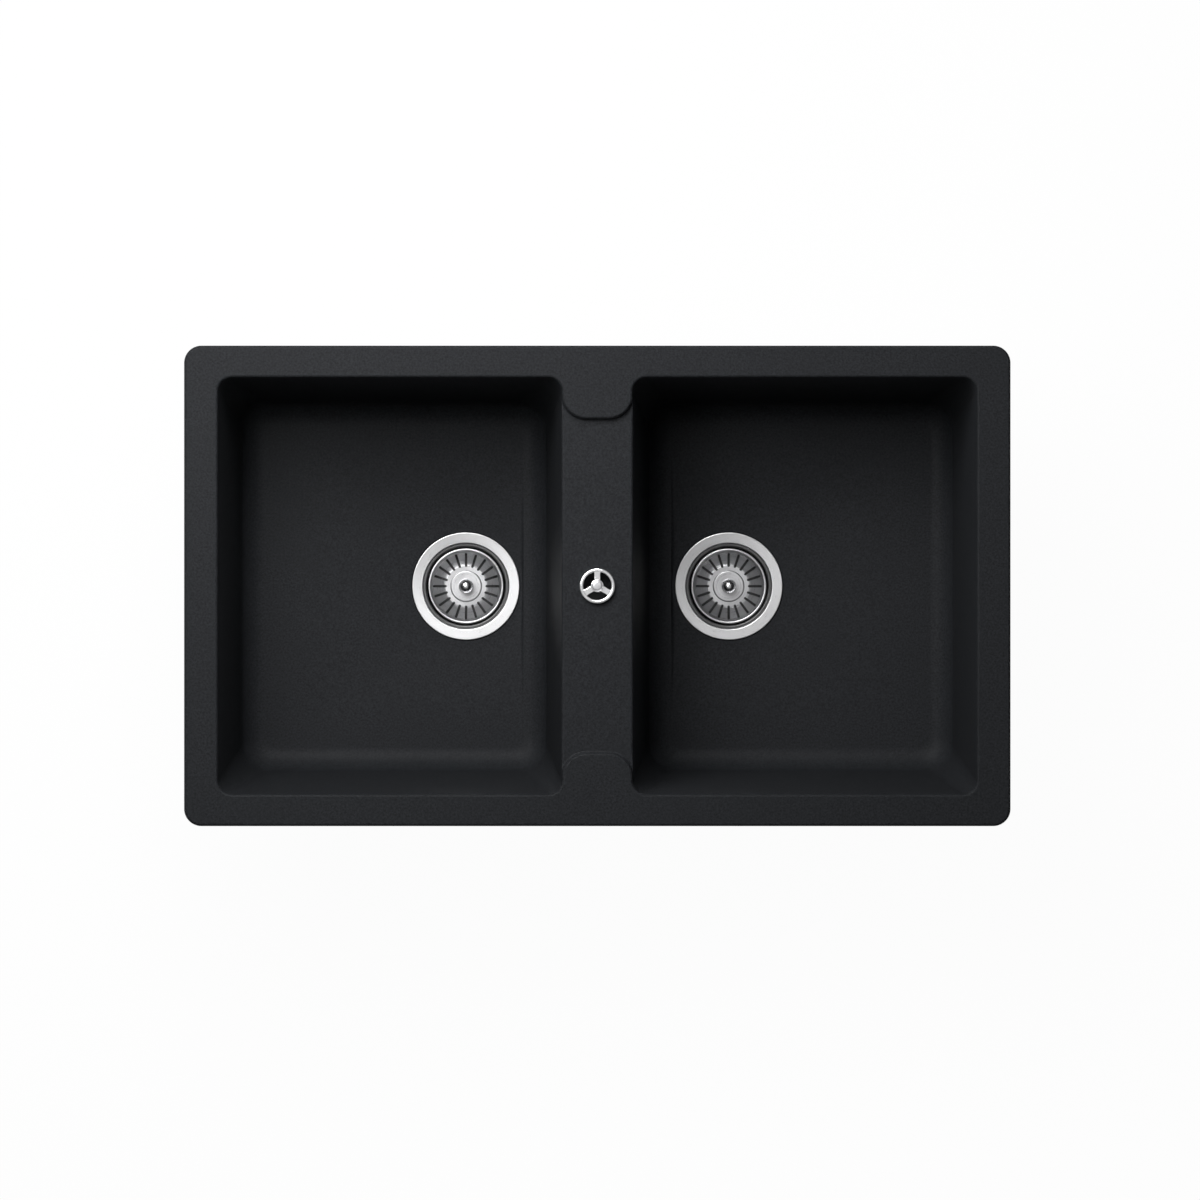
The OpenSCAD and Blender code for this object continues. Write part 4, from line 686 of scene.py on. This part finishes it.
def drain_cuts():
    seat = DRAIN_Z - RECESS_DEPTH
    outline = [
        (0, FLOOR_UNDER_Z - 1),
        (DRAIN_BORE_R, FLOOR_UNDER_Z - 1),
        (DRAIN_BORE_R, seat - 4),
        (DRAIN_BORE_R + 4, seat),
        (RECESS_R, seat),
        (RECESS_R, DRAIN_Z + FLOOR_FALL),
        (0, DRAIN_Z + FLOOR_FALL),
    ]
    return join([revolve("drain", outline, (sx * DRAIN_X, 0, 0)) for sx in (1, -1)])


dress(sink_moulding(), "sink", "sink_moulding")

# Strainers: built about their own axis, then set over each drain


def strainer_cup(name):
    half = CUP_SHEET_T / 2
    floor = -CUP_DEPTH
    path = bent_path([
        (FLANGE_R - 0.5, -half - 0.15, 0),
        (FLANGE_R - 0.9, -half, 0.3),
        (STEP_R + half, -half - FLANGE_FALL, 0.9),
        (STEP_R + half, -LEDGE_DEPTH - half, 0.9),
        (CUP_R + half, -LEDGE_DEPTH - half, 1.2),
        (CUP_R + half, floor - half, 3.5),
        (BOLT_R + 0.15, floor - half, 0),
    ])
    cup = revolve(name, sheet(path, CUP_SHEET_T))
    low, high = floor - CUP_SHEET_T - 1, floor + 1
    inner = BOLT_HEAD_R + 0.8
    windows = revolve("windows", [(inner, low), (THROAT_R, low), (THROAT_R, high), (inner, high)])
    half_bar, reach = 2, 20
    for a in (0, 120, 240):
        bar = turned_points([(0, -half_bar), (reach, -half_bar), (reach, half_bar), (0, half_bar)], a)
        carve(windows, prism("bar", bar, low - 1, high + 1))
    return smooth(carve(cup, windows))


def slot_outline(angle, inner, outer):
    """Slot with round ends along a radius."""
    r = SLOT_W / 2
    return turned_points(arc(outer - r, 0, r, -90, 90, 8) + arc(inner + r, 0, r, 90, 270, 8), angle)


def strainer_basket(name):
    half = BASKET_SHEET_T / 2
    floor_r = BASKET_R - 4.9
    disc_top = PLATEAU_H + DISC_H - BASKET_DEPTH
    path = bent_path([
        (BASKET_R - half, -BASKET_SINK - 3, 0),
        (BASKET_R - half, -BASKET_SINK - half, 0.8),
        (BASKET_R - 2.5, -BASKET_SINK - half, 1),
        (floor_r, DISH_RISE - BASKET_DEPTH - half, 2),
        (PLATEAU_R + 7.5, DISH_FOOT_RISE - BASKET_DEPTH - half, 2),
        (PLATEAU_R + 0.7, -BASKET_DEPTH - half, 0.6),
        (PLATEAU_R - 0.2, PLATEAU_H - BASKET_DEPTH - half, 0.6),
        (DISC_R + 0.5, PLATEAU_H - BASKET_DEPTH - half, 0.6),
        (DISC_R - 0.2, disc_top - half, 0.6),
        (STEM_R + RUN_FIT, disc_top - half, 0),
    ])
    basket = revolve(name, sheet(path, BASKET_SHEET_T))
    low, high = -BASKET_DEPTH - 2 * BASKET_SHEET_T, DISH_RISE - BASKET_DEPTH + half
    slots = [
        prism("slot", slot_outline(360 * i / SLOT_COUNT, PLATEAU_R - 2, floor_r - 0.1), low, high)
        for i in range(SLOT_COUNT)
    ]
    return smooth(carve(basket, join(slots)))


def basket_knob(name):
    disc_top = PLATEAU_H + DISC_H - BASKET_DEPTH
    ball_z, neck_r = disc_top + BALL_H, 3.9
    start = -math.degrees(math.acos(neck_r / BALL_R))
    outline = [
        (0, disc_top + 0.02),
        (4.7, disc_top + 0.02),
        (5.0, disc_top + 0.3),
        (4.7, disc_top + 0.7),
        (4.2, disc_top + 1.2),
        (neck_r, disc_top + 2.2),
        *arc(0, ball_z, BALL_R, start, 89.9, 40),
        (0, ball_z + BALL_R),
    ]
    return smooth(revolve(name, outline, steps=SMALL_TURN), 50)


def place(obj, side):
    obj.location = (side * DRAIN_X * MM, 0, DRAIN_Z * MM)
    return obj


for side, word in ((-1, "left"), (1, "right")):
    basket_body = word + "_basket"
    cup = place(strainer_cup(word + "_flanged_cup"), side)
    dress(cup, "sink", word + "_strainer_cup", finish=cup_steel)
    basket = place(strainer_basket(word + "_slotted_basket"), side)
    dress(basket, basket_body, word + "_strainer_basket")
    ball = place(basket_knob(word + "_ball_knob"), side)
    dress(ball, basket_body, word + "_basket_knob", finish=ball_steel)


# Control knob and its cap


def spoke(angle):
    """Waisted spoke with soft edges, from inside the hub into the ring."""
    start, end = HUB_R - 1, KNOB_R - KNOB_RING_W / 2
    mid, waist_r, steps = (start + end) / 2, 10.0, 16
    hub_flare, ring_flare = 0.2, 1.2
    edge = []
    for i in range(steps + 1):
        x = start + (end - start) * i / steps
        y = SPOKE_W / 2 + waist_r - math.sqrt(max(0, waist_r**2 - (x - mid) ** 2))
        edge.append((x, min(y, SPOKE_W / 2 + (hub_flare if x < mid else ring_flare))))
    rings = []
    base, top = KNOB_Z + 1.3, KNOB_Z + 1.3 + SPOKE_T
    for z, shrink in ((base, 0.3), (base + 0.3, 0), (top - 0.5, 0), (top - 0.15, 0.15), (top, 0.5)):
        ring = [(x, y - shrink) for x, y in edge]
        ring = [(x, -y) for x, y in ring] + [(x, y) for x, y in reversed(ring)]
        rings.append([(x, y, z) for x, y in turned_points(ring, angle)])
    return loft("spoke", rings)


def control_knob():
    mid_r, round_r = KNOB_R - KNOB_RING_W / 2, KNOB_RING_W / 2
    outline = [(mid_r - round_r, KNOB_Z + 0.4), (mid_r - round_r + 0.4, KNOB_Z)]
    outline += [(KNOB_R - 0.4, KNOB_Z), (KNOB_R, KNOB_Z + 0.4)]
    crown, crown_r, shoulder_r, shoulder_x, shoulder_drop = KNOB_Z + KNOB_RING_H, 3.61, 1.1, 0.65, 1.19
    outline += arc(mid_r + shoulder_x, crown - shoulder_drop, shoulder_r, 0, 75, 10)
    outline += arc(mid_r, crown - crown_r, crown_r, 75, 105, 8)[1:-1]
    outline += arc(mid_r - shoulder_x, crown - shoulder_drop, shoulder_r, 105, 180, 10)
    knob = revolve("rotary_knob", outline)
    carve(knob, join([spoke(a) for a in (90, 210, 330)]), "UNION")
    top = KNOB_Z + HUB_H
    hub = [(0, KNOB_Z), (HUB_R - 0.3, KNOB_Z), (HUB_R, KNOB_Z + 0.3), (HUB_R, top - 0.5)]
    hub += [(HUB_R - 0.5 + 0.5 * cos(a), top - 0.5 + 0.5 * sin(a)) for a in (30, 60, 90)]
    hub += [(0, top)]
    carve(knob, revolve("hub", hub, steps=SMALL_TURN), "UNION")
    floor, wall, lip = top - CAP_RECESS, CAP_R + 0.1, CAP_R + 0.4
    recess = [(0, floor), (wall, floor), (wall, top - 0.25), (lip, top + 0.05), (lip, top + 1), (0, top + 1)]
    carve(knob, revolve("recess", recess, steps=SMALL_TURN))
    carve(knob, revolve("bore", bore(SPINDLE_R, KNOB_Z - 1, KNOB_Z + 3.6), steps=64))
    return smooth(knob)


def knob_cap():
    top = KNOB_Z + HUB_H
    outline = [
        (0, top - CAP_RECESS + 0.02),
        (CAP_R - 0.3, top - CAP_RECESS + 0.02),
        (CAP_R, top - CAP_RECESS + 0.3),
        (CAP_R, top - 1.1),
        (CAP_R - 0.45, top - 0.9),
        (CAP_R - 0.5, top - 0.2),
        (CAP_R - 0.8, top + 0.08),
        (CAP_R - 1.2, top + 0.18),
        (CAP_R - 2.4, top + 0.26),
        (0, top + 0.3),
    ]
    return smooth(revolve("knob_disc", outline, steps=SMALL_TURN), 50)


dress(control_knob(), "knob", "control_knob")
dress(knob_cap(), "knob", "knob_cap")


# Overflow hose and control cable: smooth tubes along the routes of the CAD


def spline_point(a, b, c, d, t):
    return [
        0.5 * (2 * q + (r - p) * t + (2 * p - 5 * q + 4 * r - s) * t * t + (3 * q - p - 3 * r + s) * t**3)
        for p, q, r, s in zip(a, b, c, d, strict=True)
    ]


def route(points, steps=24):
    """Smooth route with straight first and last stretches."""
    p = [Vector(q) for q in points]
    before = p[2] - 2 * (p[2] - p[1]).length * (p[1] - p[0]).normalized()
    after = p[-3] + 2 * (p[-3] - p[-2]).length * (p[-1] - p[-2]).normalized()
    path = [p[0]]
    for k in range(1, len(p) - 2):
        a = before if k == 1 else p[k - 1]
        d = after if k == len(p) - 3 else p[k + 2]
        path += [Vector(spline_point(a, p[k], p[k + 1], d, i / steps)) for i in range(steps)]
    return path + [p[-2], p[-1]]


def tube(name, path, stations, bore_r, sides):
    """Tube along a path. Stations are (distance, outer radius); the bore has one radius."""
    sums = [0.0]
    for a, b in zip(path, path[1:]):
        sums.append(sums[-1] + (b - a).length)

    def at(s):
        s = min(max(s, 0), sums[-1])
        k = max(i for i in range(len(sums) - 1) if sums[i] <= s or i == 0)
        step = sums[k + 1] - sums[k]
        return path[k].lerp(path[k + 1], (s - sums[k]) / step if step else 0)

    points, normal = [], None
    frames = []
    for s, _ in stations:
        way = (at(s + 0.5) - at(s - 0.5)).normalized()
        normal = way.cross(Vector((1, 1, 1))) if normal is None else normal - normal.dot(way) * way
        normal = normal.normalized()
        frames.append((at(s), normal.copy(), way.cross(normal)))
    for radius in (None, bore_r):
        for (centre, n, b), (_, r) in zip(frames, stations, strict=True):
            r = r if radius is None else radius
            turns = [360 * i / sides for i in range(sides)]
            points += [centre + r * (cos(a) * n + sin(a) * b) for a in turns]
    count, faces = len(stations), []
    for shell in (0, 1):
        base = shell * count * sides
        for k in range(count - 1):
            for i in range(sides):
                a, b = base + k * sides + i, base + k * sides + (i + 1) % sides
                quad = (a, b, b + sides, a + sides)
                faces.append(quad if shell == 0 else tuple(reversed(quad)))
    for k in (0, count - 1):
        for i in range(sides):
            j = (i + 1) % sides
            a, b = k * sides, (count + k) * sides
            faces.append((a + i, b + i, b + j, a + j) if k == 0 else (a + i, a + j, b + j, b + i))
    return make(name, points, faces)


def path_length(path):
    return sum((b - a).length for a, b in zip(path, path[1:]))


def overflow_hose():
    start, end = (0, -39.5, -35.5), (-74.5, 0, -237.0)
    path = route([
        start, (0, -62.5, -35.5), (0, -88, -58), (0, -96, -90), (0, -96, -150), (0, -90, -195),
        (-2, -64, -226), (-14, -28, -236), (-34, -6, -238), (end[0] + 24, 0, end[2]), end,
    ])
    total = path_length(path)
    rib_r, depth, ribs, cuff, cuff_r, flange_r = 11.4, 1.8, 52, 22.0, 10.6, 11.8
    pitch = (total - 2 * cuff) / ribs
    stations = [(0, flange_r - 0.3), (0.3, flange_r), (2.3, flange_r)]
    stations += [(2.5, cuff_r), (cuff - 2.5, cuff_r), (cuff - 1, cuff_r - 0.4)]
    for k in range(ribs):
        for share in (0, 0.17, 0.33, 0.5, 0.67, 0.83):
            swell = (1 - math.cos(2 * math.pi * share)) / 2
            stations.append((cuff + (k + share) * pitch, rib_r - depth + depth * swell**0.7))
    stations.append((total - cuff, rib_r - depth))
    stations += [(total - s, r) for s, r in reversed(stations[:6])]
    return tube("ribbed_hose", path, stations, 8.0, 32)


def control_cable():
    """Sheath of the push-pull cable, from the drum box to the actuator box."""
    start, end = (7, 22, -52.7), (72.5, 14.5, -258.3)
    path = route([
        start, (7, 38, -52.7), (7, 60, -70), (7, 66, -110), (7, 68, -170),
        (12, 74, -220), (36, 84, -252), (62, 72, -257), (end[0], end[1] + 22, end[2]), end,
    ])
    total = path_length(path)
    count, sheath_r, core_r = int(total / 3), 2.5, 0.9
    stations = [(total * i / count, sheath_r) for i in range(count + 1)]
    return tube("control_cable_sheath", path, stations, core_r, 24)


def cable_wires():
    """Bare wire from each ferrule to the drum and to the pulley."""
    wires, wire_r = [], 0.7
    for x, y0, y1, z in ((7, 0, 23, -52.7), (72.5, -7.5, 15.5, -258.3)):
        ring = [(x + wire_r * cos(22.5 * i), z + wire_r * sin(22.5 * i)) for i in range(16)]
        wires.append(loft("wire", [[(a, y, b) for a, b in ring] for y in (y0, y1)]))
    return join(wires)


for obj, node in ((overflow_hose(), "overflow_hose"), (control_cable(), "control_cable")):
    for face in obj.data.polygons:
        face.use_smooth = True
    dress(obj, "sink", node)
wires = smooth(cable_wires())
wires.name = "cable_wire_ends"
wires.data.materials.append(finishes["zinc_steel"])
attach(wires, "sink")

# Studio: white floor and backdrop, two panels over the object for its reflections, and two soft lamps

FLOOR_HALF, WALL_R, WALL_TOP, WALL_SIDES = 15e3, 14e3, 7e3, 72
FILL = 0.05


def seen_rays(tree):
    """1 for rays from the camera and for reflected and refracted ones."""
    path = tree.nodes.new("ShaderNodeLightPath")
    total = None
    for name in ("Is Camera Ray", "Is Glossy Ray", "Is Transmission Ray"):
        if total is None:
            total = path.outputs[name]
            continue
        node = tree.nodes.new("ShaderNodeMath")
        node.operation = "MAXIMUM"
        tree.links.new(total, node.inputs[0])
        tree.links.new(path.outputs[name], node.inputs[1])
        total = node.outputs[0]
    return total


def stage_tree(name):
    """New material, its cleared node tree and its surface socket."""
    material = bpy.data.materials.new(name)
    material.use_nodes = True
    tree = material.node_tree
    tree.nodes.clear()
    return material, tree, tree.nodes.new("ShaderNodeOutputMaterial").inputs["Surface"]


def seen_level(tree, seen, other, socket):
    """Sets a strength to one value for seen rays and to another for the rest."""
    level = tree.nodes.new("ShaderNodeMapRange")
    level.inputs[3].default_value = other
    level.inputs[4].default_value = seen
    tree.links.new(seen_rays(tree), level.inputs[0])
    tree.links.new(level.outputs[0], socket)


def white_surface(name, share):
    """White for seen rays from above, a white surface in shadow for others, and clear from below."""
    material, tree, surface = stage_tree(name)
    mix = tree.nodes.new("ShaderNodeMixShader")
    matt = tree.nodes.new("ShaderNodeBsdfDiffuse")
    matt.inputs["Color"].default_value = (0.8, 0.8, 0.8, 1)
    glow = tree.nodes.new("ShaderNodeEmission")
    glow.inputs["Strength"].default_value = 1.0
    part = tree.nodes.new("ShaderNodeMath")
    part.operation = "MULTIPLY"
    part.inputs[1].default_value = share
    tree.links.new(seen_rays(tree), part.inputs[0])
    tree.links.new(part.outputs[0], mix.inputs[0])
    tree.links.new(matt.outputs[0], mix.inputs[1])
    tree.links.new(glow.outputs[0], mix.inputs[2])
    back = tree.nodes.new("ShaderNodeMixShader")
    tree.links.new(tree.nodes.new("ShaderNodeNewGeometry").outputs["Backfacing"], back.inputs[0])
    tree.links.new(mix.outputs[0], back.inputs[1])
    tree.links.new(tree.nodes.new("ShaderNodeBsdfTransparent").outputs[0], back.inputs[2])
    tree.links.new(back.outputs[0], surface)
    return material


def panel_surface(name, seen):
    material, tree, surface = stage_tree(name)
    glow = tree.nodes.new("ShaderNodeEmission")
    seen_level(tree, seen, FILL, glow.inputs["Strength"])
    tree.links.new(glow.outputs[0], surface)
    return material


def level_square(name, half, z):
    points = [(-half, -half, z), (half, -half, z), (half, half, z), (-half, half, z)]
    return make(name, points, [(0, 1, 2, 3)])


floor_z = cad_low.z / MM - 0.5
floor = level_square("floor", FLOOR_HALF, floor_z)
floor.data.materials.append(white_surface("floor_white", 0.97))
n, pitch = WALL_SIDES, 360 / WALL_SIDES
wall_ring = [(WALL_R * cos(pitch * i), WALL_R * sin(pitch * i)) for i in range(n)]
wall_points = [(x, y, z) for z in (floor_z, WALL_TOP) for x, y in wall_ring]
backdrop = make("backdrop", wall_points, [(i, (i + 1) % n, n + (i + 1) % n, n + i) for i in range(n)])
backdrop.data.materials.append(white_surface("backdrop_white", 1.0))
for name, half, z, seen in (("dark_panel", 5e3, 2600, FILL), ("pale_panel", 1.5e3, 2590, 0.62)):
    panel = level_square(name, half, z)
    panel.data.materials.append(panel_surface(name, seen))
    panel.visible_camera = False
    panel.visible_shadow = False

world = bpy.data.worlds.new("studio")
bpy.context.scene.world = world
world.use_nodes = True
sky = world.node_tree
sky.nodes.clear()
sky_out = sky.nodes.new("ShaderNodeOutputWorld")
sky_glow = sky.nodes.new("ShaderNodeBackground")
seen_level(sky, 1.0, FILL, sky_glow.inputs["Strength"])
sky.links.new(sky_glow.outputs[0], sky_out.inputs["Surface"])


def lamp(name, place_m, size_m, power):
    """Square lamp that looks at the middle of the sink."""
    data = bpy.data.lights.new(name, "AREA")
    data.shape = "RECTANGLE"
    data.size = data.size_y = size_m
    data.energy = power
    obj = bpy.data.objects.new(name, data)
    obj.location = place_m
    obj.rotation_euler = (-Vector(place_m)).to_track_quat("-Z", "Y").to_euler()
    obj.visible_camera = False
    bpy.context.scene.collection.objects.link(obj)


lamp("key", (-0.47, 0.66, 1.15), 1.0, 29)
lamp("back", (-0.1, 1.3, 1.3), 0.7, 11)

camera_data = bpy.data.cameras.new("camera")
camera_data.lens = 248
camera_data.sensor_width = 36
camera_data.clip_end = 100
camera = bpy.data.objects.new("camera", camera_data)
camera.location = (0.0028, -0.0147, 8.609)
bpy.context.scene.collection.objects.link(camera)
bpy.context.scene.camera = camera
bpy.context.scene.view_settings.view_transform = "Standard"
